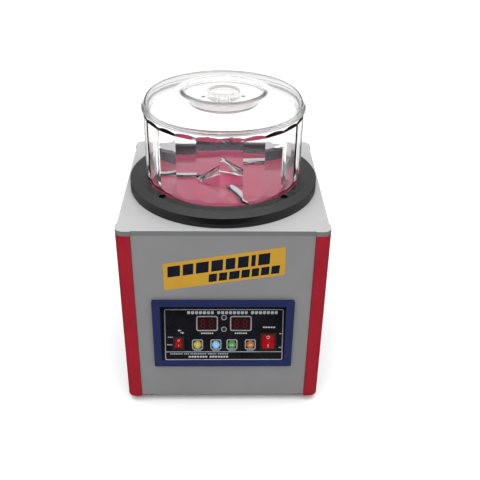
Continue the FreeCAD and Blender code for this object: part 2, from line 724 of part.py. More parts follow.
def make_lamps():
    lamps = []
    for s in ("led_low", "led_high"):
        stem = cylinder("led_radius", "board_depth - 0.6", ("0", s, "-board_depth"))
        dome = doc.addObject("Part::Sphere", "dome")
        bind(dome, Radius="led_radius", y=s, z="-0.6")
        collar = cylinder("led_radius + 0.8", "1", ("0", s, "-3.2"))
        flat = cut(dome, [box(("10", "10", "10"), ("-5", s + " - 5", "-10.6"))])
        lamps.append(fuse([stem, flat, collar]))
    keep(on_panel(group(lamps)), "timer_lamps")


def make_buttons():
    """Square switch housings on the board, each with a round cap that slides in it."""
    housings = []
    for number, x in enumerate(button_marks(), start=1):
        block = box(("switch_side", "switch_side", "board_depth - 0.4"),
                    (x + " - switch_side / 2", "button_s - switch_side / 2", "-board_depth"))
        well = cylinder("button_radius + 0.3", "6", (x, "button_s", "-6"))
        housings.append(cut(block, [well]))
        body = new_body("button_cap_%d" % number)
        sketch = new_sketch(body, "XZ_Plane")
        add_outline(sketch, [
            ("0", "-4"), ("button_radius", "-4"), ("button_radius", "button_proud - 0.8"),
            ("button_radius - 0.8", "button_proud"), ("0", "button_proud")])
        add_revolution(body, sketch)
        on_panel(body, x, "button_s")
    keep(on_panel(group(housings)), "button_switches")


def make_rocker(label, x, s, width, length, side, height, depth):
    """Rocker switch: a housing clipped in the plate and a two-way rocker on its pin."""
    pivot = "-rocker_pivot"
    half = "(%g / 2)" % length
    rim = box(("%g" % side, "%g" % height, "1.8"),
              ("%s - %g" % (x, side / 2), "%s - %g" % (s, height / 2), "0"))
    shell = box(("%g" % (side - 2.4), "%g" % (height - 2.2), "%g" % depth),
                ("%s - %g" % (x, side / 2 - 1.2), "%s - %g" % (s, height / 2 - 1.1),
                 "-%g" % depth))
    well = box(("%g" % (width + 0.6), "%g" % (length + 1.6), "20"),
               ("%s - %g" % (x, width / 2 + 0.3), "%s - %g" % (s, length / 2 + 0.8), "-8"))
    pin_hole = cylinder("1.5 + running_gap", "%g" % (width + 2.4),
                        ("%s - %g" % (x, width / 2 + 1.2), s, pivot), "X")
    terminals = [box(("0.8", "4.8", "8"),
                     ("%s - 0.4" % x, "%s %+g" % (s, place * length / 2 - 2.4),
                      "-%g" % (depth + 7))) for place in (-0.8, 0, 0.8)]
    housing = fuse([cut(fuse([rim, shell]), [well, pin_hole])] + terminals)
    keep(on_panel(group([housing])), label + "_housing")

    body = new_body(label)
    sketch = new_sketch(body, "YZ_Plane")
    rise = "tan(rocker_angle * 1 deg)"
    add_outline(sketch, [
        ("0", "2.2"), ("-%s" % half, "2.2 + %s * %s" % (half, rise)),
        ("-%s - 0.1" % half, "0.4"), ("-%s * 0.6" % half, "-3"), ("%s * 0.6" % half, "-3"),
        ("%s + 0.1" % half, "0.4"), (half, "2.2 + %s * %s" % (half, rise))])
    add_pad(body, sketch, "%g" % width, centred=True)
    pin = new_sketch(body, "YZ_Plane")
    add_circle(pin, "0", "0", "1.5")
    add_pad(body, pin, "%g" % (width + 1.8), centred=True)
    tilt = value("90 - panel_tilt")
    lean = FreeCAD.Rotation(FreeCAD.Vector(1, 0, 0), tilt - value("rocker_angle"))
    up = FreeCAD.Vector(0, math.cos(math.radians(tilt)), math.sin(math.radians(tilt)))
    out = FreeCAD.Vector(0, -up.z, up.y)
    base = FreeCAD.Vector(value(x + " + controls_x"), value("plate_y"), value("plate_z"))
    body.Placement = FreeCAD.Placement(base + up * value(s) + out * value(pivot), lean)


def make_rockers():
    make_rocker("power_rocker", "power_x", "power_s", 16.2, 19, 21.8, 25, 20)
    make_rocker("reverse_rocker", "reverse_x", "reverse_s", 9.2, 13.2, 15, 19, 16)


def make_control_board():
    board = box(("94", "64", "board_sheet"), ("-47", "9", "-board_depth - board_sheet"))
    chip = box(("18", "18", "2.5"), ("-9", "30", "-board_depth - board_sheet - 2.5"))
    plug = box(("22", "6", "9"), ("-38", "62", "-board_depth - board_sheet - 9"))
    marks = [("-43.5", "14"), ("43.5", "14"), ("-43.5", "69"), ("43.5", "69")]
    keep(on_panel(group([fuse([board, chip, plug])])), "control_board")
    front = [cylinder("3", "board_depth - plate_thickness", (x, s, "-board_depth"))
             for x, s in marks]
    rear = [cylinder("3", "board_depth - plate_thickness", (x, y, "base_low + base_sheet"))
            for x in ("-107", "-17") for y in ("49", "105")]
    keep(group([on_panel(group(front)), group(rear)]), "board_spacers")


# ---------------------------------------------------------------- drive

def make_mounting():
    """Pillars under the ring screws, rubber bushes, and the plate that carries the motor."""
    spots = around_axis(4, "screw_circle", 45)
    low = "(motor_plate_top + bush_height)"
    pillars = []
    bushes = []
    screws = []
    for x, y in spots:
        pillar = cylinder("pillar_radius", "case_top - cover_sheet - " + low, (x, y, low))
        bore = cylinder("ring_bore - 0.1", "60", (x, y, low + " - 5"))
        pillars.append(cut(pillar, [bore]))
        bush = cylinder("pillar_radius + 3", "bush_height", (x, y, "motor_plate_top"))
        bushes.append(cut(bush, [cylinder("ring_bore - 0.1", "20",
                                          (x, y, "motor_plate_top - 5"))]))
        shank = cylinder("ring_bore - 0.1", "motor_plate_sheet + bush_height + 6",
                         (x, y, "motor_plate_top - motor_plate_sheet"))
        head = cylinder("4.5", "3", (x, y, "motor_plate_top - motor_plate_sheet - 3"))
        screws.append(fuse([shank, head]))
    keep(group(pillars), "motor_pillars")
    keep(group(bushes), "rubber_bushes")
    keep(group(screws), "pillar_screws")

    plate = cylinder("screw_circle + 12", "motor_plate_sheet",
                     ("0", "axis_y", "motor_plate_top - motor_plate_sheet"))
    tools = [cylinder("15", "20", ("0", "axis_y", "motor_plate_top - 10"))]
    tools += [cylinder("ring_bore - 0.1", "20", (x, y, "motor_plate_top - 10"))
              for x, y in spots]
    tools += [cylinder("2", "20", (x, y, "motor_plate_top - 10"))
              for x, y in around_axis(4, "25", 0)]
    keep(cut(plate, tools), "motor_plate")


def make_motor():
    """Brushed motor hanging under its plate: two end caps, a tube, bearings and screws."""
    top = "(motor_plate_top - motor_plate_sheet)"
    tube_low = "(%s - motor_cap - motor_length)" % top
    tube = cut(cylinder("motor_radius", "motor_length", ("0", "axis_y", tube_low)),
               [cylinder("motor_radius - 3", "motor_length + 2",
                         ("0", "axis_y", tube_low + " - 1"))])
    keep(tube, "motor_tube")
    for name, low in (("upper", top + " - motor_cap"), ("lower", tube_low + " - motor_cap")):
        cap = cylinder("motor_radius", "motor_cap", ("0", "axis_y", low))
        seat_low = low if name == "upper" else low + " + motor_cap - bearing_width"
        seat = cylinder("bearing_radius", "bearing_width", ("0", "axis_y", seat_low))
        hole = cylinder("shaft_radius + 1.5", "60", ("0", "axis_y", low + " - 30"))
        tools = [seat, hole]
        if name == "upper":
            tools += [cylinder("2", "motor_cap - 1.5", (x, y, low + " + 1.5"))
                      for x, y in around_axis(4, "25", 0)]
        keep(cut(cap, tools), "motor_cap_" + name)
    bearings = []
    for low in (top + " - motor_cap", tube_low + " - bearing_width"):
        race = cylinder("bearing_radius", "bearing_width", ("0", "axis_y", low))
        bearings.append(cut(race, [cylinder("shaft_radius + running_gap", "60",
                                            ("0", "axis_y", low + " - 30"))]))
    keep(group(bearings), "motor_bearings")
    screws = []
    for x, y in around_axis(4, "25", 0):
        shank = cylinder("2", "motor_plate_sheet + motor_cap - 1.5",
                         (x, y, top + " - motor_cap + 1.5"))
        head = cylinder("3.8", "2.4", (x, y, "motor_plate_top"))
        screws.append(fuse([shank, head]))
    keep(group(screws), "motor_screws")


def make_rotor():
    """Everything that turns: armature, shaft, hub, disc and its magnets."""
    top = "(motor_plate_top - motor_plate_sheet)"
    tube_low = "(%s - motor_cap - motor_length)" % top
    shaft_low = "(%s - motor_cap - 3)" % tube_low
    shaft = cylinder("shaft_radius", "disc_low + disc_thickness - " + shaft_low,
                     ("0", "axis_y", shaft_low))
    keep(shaft, "motor_shaft")
    core_low = tube_low + " + 14"
    core = cylinder("rotor_radius", "rotor_length", ("0", "axis_y", core_low))
    slots = [box(("6", "2.6", "rotor_length + 2"), ("rotor_radius - 5", "-1.3", "-1"))
             for number in range(12)]
    for number, slot in enumerate(slots):
        slot.Placement = FreeCAD.Placement(
            FreeCAD.Vector(0, 0, 0), FreeCAD.Rotation(FreeCAD.Vector(0, 0, 1), 30 * number))
        angle = "%d deg" % (30 * number)
        bind(slot, x="(rotor_radius - 5) * cos(%s) + 1.3 * sin(%s)" % (angle, angle),
             y="axis_y + (rotor_radius - 5) * sin(%s) - 1.3 * cos(%s)" % (angle, angle),
             z=core_low + " - 1")
    commutator = cylinder("11", "14", ("0", "axis_y", core_low + " + rotor_length"))
    bore = cylinder("shaft_radius", "300", ("0", "axis_y", shaft_low + " - 5"))
    keep(cut(fuse([cut(core, slots), commutator]), [bore]), "motor_armature")
    boss = cylinder("hub_radius", "12", ("0", "axis_y", "disc_low - 14"))
    flange = cylinder("hub_flange", "3", ("0", "axis_y", "disc_low - 3"))
    hub_bore = cylinder("shaft_radius", "60", ("0", "axis_y", "disc_low - 30"))
    keep(cut(fuse([boss, flange]), [hub_bore]), "drive_hub")
    disc = cylinder("disc_radius", "disc_thickness", ("0", "axis_y", "disc_low"))
    disc_bore = cylinder("shaft_radius", "60", ("0", "axis_y", "disc_low - 30"))
    seats = [cylinder("magnet_radius", "5", (x, y, "disc_low + disc_thickness - 2"))
             for x, y in around_axis(SIZES["magnets"], "magnet_circle", 22.5)]
    keep(cut(disc, [disc_bore] + seats), "magnet_disc")
    magnets = [cylinder("magnet_radius", "magnet_height",
                        (x, y, "disc_low + disc_thickness - 2"))
               for x, y in around_axis(SIZES["magnets"], "magnet_circle", 22.5)]
    keep(group(magnets), "magnets")


# ---------------------------------------------------------------- electrics

def make_power_parts():
    """Supply board, transformer and capacitor on the floor of the case."""
    floor = "(base_low + base_sheet)"
    sheet_low = floor + " + board_depth - plate_thickness"
    board = box(("100", "66", "board_sheet"), ("-112", "44", sheet_low))
    sheet_top = "%s + board_sheet" % sheet_low
    relays = [box(("20", "16", "16"), (x, "86", sheet_top)) for x in ("-72", "-46")]
    filter_coil = box(("26", "20", "18"), ("-106", "84", sheet_top))
    cooler = box(("40", "4", "24"), ("-100", "62", sheet_top))
    terminals = box(("60", "8", "10"), ("-80", "45", sheet_top))
    keep(fuse([board, filter_coil, cooler, terminals] + relays), "power_board")
    core = box(("66", "26", "56"), ("28", "47", floor))
    winding = cylinder("22", "46", ("61", "37", floor + " + 28"), "Y")
    feet = box(("84", "26", "2"), ("19", "47", floor))
    keep(fuse([core, winding, feet]), "transformer")
    can = cylinder("17.5", "70", ("-80", "-60", floor))
    leads = [cylinder("1.5", "9", (x, "-60", floor + " + 68")) for x in ("-86", "-74")]
    keep(fuse([can] + leads), "smoothing_capacitor")


def route_edges(points):
    """Straight runs joined by tangent arcs as large as the two runs allow."""
    edges = []
    last = points[0]
    for before, corner, after in zip(points, points[1:], points[2:]):
        back = (before - corner).normalize()
        ahead = (after - corner).normalize()
        half_turn = (math.pi - back.getAngle(ahead)) / 2
        reach = 0.45 * min((before - corner).Length, (after - corner).Length)
        bisector = (back + ahead).normalize()
        radius = reach / math.tan(half_turn)
        start = corner + back * reach
        end = corner + ahead * reach
        middle = corner + bisector * (radius / math.cos(half_turn) - radius)
        edges.append(Part.makeLine(last, start))
        edges.append(Part.Arc(start, middle, end).toShape())
        last = end
    edges.append(Part.makeLine(last, points[-1]))
    return edges


def make_wiring():
    """Inner wires: inlet to power switch, supply board to motor, and to the controls."""
    radius = 2.0
    routes = (
        [(-62, 107.5, 54), (-62, 84, 66), (-44, 48, 78), (0, -10, 84), (40, -62, 88),
         (57, -84, 92), (58.2, -101, 94.8)],
        [(-70, 66.5, 52), (-71, 52, 74), (-62, 26, 96), (-50, 4, 120), (-41.5, -2, 137)],
        [(-27, -94, 131), (-32, -80, 120), (-44, -58, 98), (-52, -22, 74), (-54, 18, 56),
         (-52, 47, 36.4)])
    wires = []
    for route in routes:
        points = [FreeCAD.Vector(*spot) for spot in route]
        path = Part.Wire(route_edges(points))
        circle = Part.makeCircle(radius, points[0], points[1] - points[0])
        wires.append(path.makePipeShell([Part.Wire([circle])], True, False))
    loom = doc.addObject("Part::Feature", "loom")
    loom.Shape = Part.makeCompound(wires)
    keep(loom, "wiring")


def make_inlet():
    """Three-pin appliance inlet with its flange outside the rear panel."""
    outer = "(%s)" % PANEL_Y
    flange = box(("48", "2.5", "23"), ("inlet_x - 24", outer, "inlet_z - 11.5"))
    shell = box(("27", "24", "20"), ("inlet_x - 13.5", outer + " - 24", "inlet_z - 10"))
    socket = box(("24.4", "30", "16.4"), ("inlet_x - 12.2", outer + " - 17", "inlet_z - 8.2"))
    pins = [box(("2", "18", "4"), ("inlet_x %s - 1" % place, outer + " - 18",
                                   "inlet_z %s - 2" % height))
            for place, height in (("- 7", "- 1.5"), ("+ 0", "+ 2.5"), ("+ 7", "- 1.5"))]
    holes = [cylinder("screw_radius", "20", ("inlet_x %s 20" % sign, outer + " - 10", "inlet_z"),
                      "Y") for sign in ("-", "+")]
    keep(fuse([cut(fuse([flange, shell]), [socket] + holes)] + pins), "power_inlet")


def make_fuse_holder():
    outer = "(%s)" % PANEL_Y
    barrel = cylinder("6", "30", ("fuse_x", outer + " - 30", "inlet_z"), "Y")
    rim = cylinder("8", "1.5", ("fuse_x", outer, "inlet_z"), "Y")
    cap = cylinder("6.4", "2.4", ("fuse_x", outer + " + 1.5", "inlet_z"), "Y")
    slit = box(("9", "2", "1.4"), ("fuse_x - 4.5", outer + " + 2.7", "inlet_z - 0.7"))
    keep(fuse([barrel, rim]), "fuse_holder")
    keep(cut(cap, [slit]), "fuse_cap")


def make_fan():
    """Cooling fan inside the rear panel, with a wire guard outside."""
    inner = "(%s - sheet)" % PANEL_Y
    low = "(%s - fan_depth)" % inner
    frame = box(("fan_side", "fan_depth", "fan_side"),
                ("fan_x - fan_side / 2", low, "fan_z - fan_side / 2"))
    bore = cylinder("fan_bore", "60", ("fan_x", low + " - 5", "fan_z"), "Y")
    corners = [("fan_x %s 35.75" % a, "fan_z %s 35.75" % b) for a in "-+" for b in "-+"]
    holes = [cylinder("screw_radius", "60", (x, low + " - 5", z), "Y") for x, z in corners]
    spider = cylinder("14", "3", ("fan_x", low, "fan_z"), "Y")
    arms = [box(("fan_side - 2", "3", "5"), ("fan_x - fan_side / 2 + 1", low, "fan_z - 2.5")),
            box(("5", "3", "fan_side - 2"), ("fan_x - 2.5", low, "fan_z - fan_side / 2 + 1"))]
    post = cylinder("2", "fan_depth - 10", ("fan_x", low + " + 3", "fan_z"), "Y")
    keep(fuse([cut(frame, [bore] + holes), spider, post] + arms), "fan_frame")

    hub = cylinder("17", "fan_depth - 7", ("fan_x", low + " + 4.5", "fan_z"), "Y")
    blades = []
    for number in range(7):
        blade = box(("20.5", "1.6", "17"), ("0", "0", "0"))
        spin = FreeCAD.Rotation(FreeCAD.Vector(0, 1, 0), 360.0 * number / 7)
        pitch = FreeCAD.Rotation(FreeCAD.Vector(1, 0, 0), 42)
        turn = spin.multiply(pitch)
        offset = turn.multVec(FreeCAD.Vector(15.5, -0.8, -8.5))
        blade.Placement.Rotation = turn
        bind(blade, x="fan_x + %.6f" % offset.x, z="fan_z + %.6f" % offset.z,
             y="%s + 4.5 + (fan_depth - 7) / 2 + %.6f" % (low, offset.y))
        blades.append(blade)
    bore = cylinder("2 + running_gap", "fan_depth - 10", ("fan_x", low + " + 4", "fan_z"), "Y")
    keep(cut(fuse([hub] + blades), [bore]), "fan_rotor")

    make_fan_guard()
    screws = [rear_screw(x, z, "(%s)" % PANEL_Y, "fan_depth") for x, z in corners]
    keep(group(screws), "fan_screws")


def make_fan_guard():
    """Rings of wire on two crossed bars, over the fan's hole in the rear panel."""
    face = "(%s)" % PANEL_Y
    wires = []
    for radius in (12, 22, 32, 41):
        ring = doc.addObject("Part::Torus", "wire")
        ring.Radius1 = radius
        ring.Placement.Rotation = FreeCAD.Rotation(FreeCAD.Vector(1, 0, 0), 90)
        bind(ring, Radius2="guard_wire", x="fan_x", y=face + " + bezel_proud - guard_wire",
             z="fan_z")
        wires.append(ring)
    reach = 46.5 * math.sin(math.radians(45))
    for angle, side in ((45, -1), (135, 1)):
        bar = doc.addObject("Part::Cylinder", "wire")
        bar.Height = 93
        bar.Placement.Rotation = FreeCAD.Rotation(FreeCAD.Vector(0, 1, 0), angle)
        bind(bar, Radius="guard_wire", x="fan_x - %g" % reach, y=face + " + guard_wire",
             z="fan_z %+g" % (side * reach))
        wires.append(bar)
    keep(fuse(wires), "fan_guard")


# ---------------------------------------------------------------- build and write

def build():
    make_cover()
    make_base()
    make_posts()
    make_feet()
    make_front_panel()
    side_cuts = (("left_panel", "-(%s)" % PANEL_X, False), ("right_panel", PANEL_X, True))
    for label, offset, reverse in side_cuts:
        make_side_panel(label, offset, reverse)
    make_rear_panel()
    make_case_screws()
    make_ring()
    make_ring_screws()
    make_seat_floor()
    make_bowl()
    make_lid()
    make_knob()
    make_bezel()
    make_control_plate()
    make_displays()
    make_lamps()
    make_buttons()
    make_rockers()
    make_control_board()
    make_mounting()
    make_motor()
    make_rotor()
    make_power_parts()
    make_wiring()
    make_inlet()
    make_fuse_holder()
    make_fan()


def check_document():
    """Stop before anything is written if an object failed or a shape is not valid."""
    for thing in doc.Objects:
        if any(word in ("Invalid", "Error") for word in thing.State):
            raise RuntimeError("%s (%s) failed: %s" % (thing.Name, thing.Label, thing.State))
    for node in NODES:
        if node.Shape.isNull() or not node.Shape.isValid():
            raise RuntimeError("%s has no valid shape" % node.Label)


def write_steps():
    os.makedirs("parts", exist_ok=True)
    for node in NODES:
        node.Shape.exportStep(os.path.join("parts", node.Label + ".step"))
        solids = node.Shape.Solids
        print("%-22s %2d solid(s) %12.1f mm3" % (node.Label, len(solids), node.Shape.Volume))


build()
doc.recompute()
check_document()
write_steps()
print(len(NODES), "nodes")
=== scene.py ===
import json
import math

import bmesh
import bpy
from mathutils import Matrix, Vector


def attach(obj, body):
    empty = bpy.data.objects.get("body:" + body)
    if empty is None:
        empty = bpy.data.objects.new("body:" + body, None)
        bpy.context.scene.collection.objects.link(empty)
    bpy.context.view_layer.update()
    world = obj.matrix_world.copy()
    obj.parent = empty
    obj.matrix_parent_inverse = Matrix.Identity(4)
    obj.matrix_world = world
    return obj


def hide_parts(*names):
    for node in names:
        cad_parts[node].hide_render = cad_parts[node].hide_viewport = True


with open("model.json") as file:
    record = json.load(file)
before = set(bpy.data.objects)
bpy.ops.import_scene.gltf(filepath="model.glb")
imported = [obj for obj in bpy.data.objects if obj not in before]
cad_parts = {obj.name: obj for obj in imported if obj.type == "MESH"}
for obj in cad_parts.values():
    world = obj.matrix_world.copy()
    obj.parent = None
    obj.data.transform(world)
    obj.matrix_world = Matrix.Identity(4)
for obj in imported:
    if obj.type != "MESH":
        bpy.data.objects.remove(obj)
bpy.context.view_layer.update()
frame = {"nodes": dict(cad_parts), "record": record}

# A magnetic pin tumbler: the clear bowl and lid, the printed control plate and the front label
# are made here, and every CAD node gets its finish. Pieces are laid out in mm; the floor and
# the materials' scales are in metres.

MM = 0.001
NODES = frame["nodes"]
AXIS_Y = -3.4


# ---------------------------------------------------------------- materials

class Graph:
    """A material's node tree, with the few nodes the finishes share."""

    def __init__(self, name):
        self.material = bpy.data.materials.new(name)
        self.material.use_nodes = True
        self.nodes = self.material.node_tree.nodes
        self.links = self.material.node_tree.links
        self.shader = self.nodes["Principled BSDF"]
        self.place = self.nodes.new("ShaderNodeTexCoord").outputs["Object"]

    def link(self, a, b):
        self.links.new(a, b)

    def noise(self, scale, detail=3.0, stretch=None):
        """Noise over the object, as a value about 0.5; stretch squeezes it along the axes."""
        node = self.nodes.new("ShaderNodeTexNoise")
        node.inputs["Scale"].default_value = scale
        node.inputs["Detail"].default_value = detail
        node.inputs["Roughness"].default_value = 0.55
        source = self.place
        if stretch:
            mapping = self.nodes.new("ShaderNodeMapping")
            mapping.inputs["Scale"].default_value = stretch
            self.link(self.place, mapping.inputs["Vector"])
            source = mapping.outputs["Vector"]
        self.link(source, node.inputs["Vector"])
        return node.outputs["Fac"]

    def spread(self, value, low, high, start=0.35, stop=0.65):
        """Maps start..stop of a value to low..high."""
        node = self.nodes.new("ShaderNodeMapRange")
        node.inputs["From Min"].default_value = start
        node.inputs["From Max"].default_value = stop
        node.inputs["To Min"].default_value = low
        node.inputs["To Max"].default_value = high
        self.link(value, node.inputs["Value"])
        return node.outputs["Result"]

    def math(self, operation, first, second=None):
        """One step of arithmetic on numbers or outputs."""
        node = self.nodes.new("ShaderNodeMath")
        node.operation = operation
        for socket, item in zip(node.inputs, (first, second)):
            if item is None:
                continue
            if isinstance(item, (int, float)):
                socket.default_value = item
            else:
                self.link(item, socket)
        return node.outputs["Value"]

    def blend(self, factor, first, second):
        """Mixes two colours, or colour outputs, by a factor."""
        node = self.nodes.new("ShaderNodeMix")
        node.data_type = "RGBA"
        self.link(factor, node.inputs["Factor"])
        for socket, item in ((node.inputs[6], first), (node.inputs[7], second)):
            if isinstance(item, tuple):
                socket.default_value = item + (1.0,)
            else:
                self.link(item, socket)
        return node.outputs[2]

    def bump(self, height, distance):
        """Relief of a given depth in metres."""
        node = self.nodes.new("ShaderNodeBump")
        node.inputs["Strength"].default_value = 1.0
        node.inputs["Distance"].default_value = distance
        self.link(height, node.inputs["Height"])
        self.link(node.outputs["Normal"], self.shader.inputs["Normal"])

    def set(self, **values):
        """Sets shader sockets by name, with underscores for spaces."""
        for label, amount in values.items():
            self.shader.inputs[label.replace("_", " ")].default_value = amount


def shade(colour, factor):
    """The same colour, darker or lighter."""
    return tuple(min(1.0, part * factor) for part in colour)


def coat(name, colour, rough, vary, patch, grain, relief, **extra):
    """Painted, moulded or printed finish: cloudy tone, uneven gloss and a fine relief.

    vary is how far the tone wanders, patch and grain the scales of the clouds and of the
    relief, and relief its depth in mm; extra sets more shader sockets.
    """
    graph = Graph(name)
    cloud = graph.noise(patch)
    tone = graph.blend(graph.spread(cloud, 0.0, 1.0), shade(colour, 1 - vary),
                       shade(colour, 1 + vary))
    graph.link(tone, graph.shader.inputs["Base Color"])
    fine = graph.noise(grain, 2.0)
    gloss = graph.spread(graph.noise(patch * 6, 4.0), rough * 0.88, min(1.0, rough * 1.12))
    graph.link(gloss, graph.shader.inputs["Roughness"])
    graph.bump(fine, relief * MM)
    graph.set(**extra)
    return graph


def metal(name, colour, rough):
    """Bare metal with drawn or turned lines and faint stains."""
    graph = Graph(name)
    lines = graph.noise(500.0, 3.0, (1, 1, 14))
    stain = graph.noise(45.0, 4.0)
    tone = graph.blend(graph.spread(stain, 0.0, 1.0), shade(colour, 0.86), colour)
    graph.link(tone, graph.shader.inputs["Base Color"])
    graph.link(graph.spread(lines, rough * 0.7, rough * 1.3), graph.shader.inputs["Roughness"])
    graph.bump(lines, 0.01 * MM)
    graph.set(Metallic=1.0)
    return graph


def clear(name, tint, haze, rough):
    """Clear moulded plastic with faint flow ripples and a little haze."""
    graph = Graph(name)
    graph.shader.inputs["Base Color"].default_value = tint + (1.0,)
    flow = graph.noise(28.0, 2.0)
    graph.link(graph.spread(graph.noise(140.0, 4.0), rough * 0.5, rough * 1.6),
               graph.shader.inputs["Roughness"])
    graph.link(graph.spread(flow, 1.0 - haze * 1.3, 1.0 - haze * 0.7),
               graph.shader.inputs["Transmission Weight"])
    graph.bump(flow, 0.004 * MM)
    graph.set(IOR=1.49)
    return graph


def make_finishes():
    """One material for each of the record's slots."""
    made = {}
    made["cover_paint"] = cover_paint_with_side_shade()
    made["panel_paint"] = coat("panel_paint", (0.2, 0.2, 0.204), 0.5, 0.03, 14, 1500, 0.02,
                               Specular_IOR_Level=0.2)
    made["post_red"] = coat("post_red", (0.29, 0.005, 0.016), 0.4, 0.07, 16, 1300, 0.012,
                            Specular_IOR_Level=0.15)
    made["foot_rubber"] = coat("foot_rubber", (0.02, 0.02, 0.02), 0.8, 0.2, 60, 1200, 0.04,
                               Specular_IOR_Level=0.3)
    made["ring_black"] = turned_black()
    # Partly the seat's own red, partly painted reflection: extra blue pinks it as the white
    # reflection off the bowl's clear floor would, and the tinted specular adds to that.
    made["seat_red"] = coat("seat_red", (0.94, 0.025, 0.17), 0.34, 0.03, 35, 700, 0.01,
                            Specular_Tint=(1.0, 0.6, 1.0, 1.0))
    made["bowl_clear"] = clear("bowl_clear", (0.996, 0.996, 0.998), 0.002, 0.008)
    made["bowl_clear"].set(Specular_Tint=(0.4, 0.4, 0.45, 1.0))
    made["lid_clear"] = clear("lid_clear", (0.9, 0.9, 0.9), 0.008, 0.01)
    made["lid_clear"].set(Specular_Tint=(0.6, 0.6, 0.6, 1.0))
    made["knob_clear"] = clear("knob_clear", (0.95, 0.95, 0.95), 0.01, 0.01)
    made["bezel_blue"] = coat("bezel_blue", (0.014, 0.021, 0.082), 0.34, 0.04, 30, 900, 0.006,
                              Specular_IOR_Level=0.2)
    made["plate_black"] = coat("plate_black", (0.008, 0.008, 0.011), 0.26, 0.2, 40, 1600, 0.005,
                               Specular_IOR_Level=0.2)
    made["window_red"] = coat("window_red", (0.03, 0.006, 0.007), 0.12, 0.15, 60, 900, 0.002,
                              Specular_IOR_Level=0.3)
    made["lamp_red"] = coat("lamp_red", (0.016, 0.011, 0.011), 0.15, 0.2, 200, 900, 0.002)
    caps = {"yellow": (0.44, 0.36, 0.01), "blue": (0.15, 0.44, 0.78),
            "green": (0.05, 0.26, 0.045), "orange": (0.42, 0.12, 0.012)}
    for tint, colour in caps.items():
        made["button_" + tint] = coat("button_" + tint, colour, 0.35, 0.08, 160, 1500, 0.006)
    made["rocker_red"] = coat("rocker_red", (0.27, 0.0025, 0.004), 0.24, 0.12, 120, 900, 0.004,
                              Specular_IOR_Level=0.07)
    for name in ("switch_black", "fan_black"):
        made[name] = coat(name, (0.014, 0.014, 0.015), 0.42, 0.2, 70, 1500, 0.012)
    made["wire_sleeve"] = coat("wire_sleeve", (0.02, 0.02, 0.022), 0.5, 0.2, 90, 900, 0.01)
    made["motor_black"] = coat("motor_black", (0.016, 0.016, 0.017), 0.34, 0.2, 60, 600, 0.02)
    made["board_green"] = coat("board_green", (0.012, 0.12, 0.045), 0.35, 0.2, 200, 700, 0.02)
    made["core_iron"] = coat("core_iron", (0.06, 0.055, 0.05), 0.55, 0.25, 90, 500, 0.03)
    made["screw_steel"] = metal("screw_steel", (0.62, 0.62, 0.6), 0.32)
    made["screw_dark"] = metal("screw_dark", (0.05, 0.05, 0.052), 0.4)
    made["bare_steel"] = metal("bare_steel", (0.55, 0.55, 0.56), 0.34)
    made["bare_aluminium"] = metal("bare_aluminium", (0.72, 0.73, 0.74), 0.38)
    made["spacer_brass"] = metal("spacer_brass", (0.7, 0.5, 0.2), 0.3)
    made["magnet_nickel"] = metal("magnet_nickel", (0.75, 0.74, 0.7), 0.14)
    made["guard_chrome"] = metal("guard_chrome", (0.7, 0.7, 0.71), 0.16)
    return made


def paint_shade_on_sides(graph, colour):
    """Painted shade: another tone wherever the surface doesn't face up, standing in for the
    light that falls less on the sides.
    """
    normal = graph.nodes.new("ShaderNodeNewGeometry").outputs["Normal"]
    parts = graph.nodes.new("ShaderNodeSeparateXYZ")
    graph.link(normal, parts.inputs[0])
    upward = graph.spread(parts.outputs["Z"], 0.0, 1.0, 0.25, 0.8)
    top_tone = graph.shader.inputs["Base Color"].links[0].from_socket
    graph.link(graph.blend(upward, colour, top_tone), graph.shader.inputs["Base Color"])


def cover_paint_with_side_shade():
    """Light grey powder coat on top, with painted shade: every face that doesn't face up, the
    turned-down lip among them, gets a darker grey.
    """
    graph = coat("cover_paint", (0.44, 0.44, 0.445), 0.5, 0.03, 12, 1500, 0.02,
                 Specular_IOR_Level=0.3)
    # Painted shade: the lip and other faces that don't face up get a dark grey for the light
    # they miss.
    paint_shade_on_sides(graph, (0.145, 0.145, 0.148))
    return graph


def turned_black():
    """Satin black with fine rings left by the lathe, round the bowl's axis."""
    graph = coat("ring_black", (0.011, 0.011, 0.0117), 0.36, 0.12, 40, 1400, 0.006,
                 Specular_IOR_Level=0.4, Anisotropic=0.85)
    tangent = graph.nodes.new("ShaderNodeTangent")
    tangent.direction_type = "RADIAL"
    tangent.axis = "Z"
    graph.link(tangent.outputs["Tangent"], graph.shader.inputs["Tangent"])
    # Painted shade: the ring's faces that don't face up get a darker black.
    paint_shade_on_sides(graph, (0.005, 0.005, 0.0055))
    parts = graph.nodes.new("ShaderNodeSeparateXYZ")
    graph.link(graph.place, parts.inputs[0])
    shifted = graph.math("SUBTRACT", parts.outputs["Y"], AXIS_Y * MM)
    radius = graph.math("SQRT", graph.math(
        "ADD", graph.math("MULTIPLY", parts.outputs["X"], parts.outputs["X"]),
        graph.math("MULTIPLY", shifted, shifted)))
    ring_pitch, ring_depth = 0.8 * MM, 0.004 * MM
    rings = graph.math("SINE", graph.math("MULTIPLY", radius, 2 * math.pi / ring_pitch))
    graph.bump(rings, ring_depth)
    return graph


FINISH = make_finishes()
GATE_GREY = coat("gate_grey", (0.08, 0.075, 0.08), 0.4, 0.2, 300, 1500, 0.004)
# Painted highlight: near-opaque white for the light caught along the bowl's ridges.
RIB_HIGHLIGHT_WHITE = coat("painted_rib_highlight", (0.93, 0.92, 0.94), 0.5, 0.05, 200, 900, 0.01,
               Transmission_Weight=0.15)
NODE_SLOT = {part["node"]: part["material_slot"] for part in frame["record"]["subparts"]}


def finish_nodes():
    """Gives every CAD node the finish of its slot."""
    for name, node in NODES.items():
        node.data.materials.clear()
        node.data.materials.append(FINISH[NODE_SLOT[name]].material)


# ---------------------------------------------------------------- building pieces

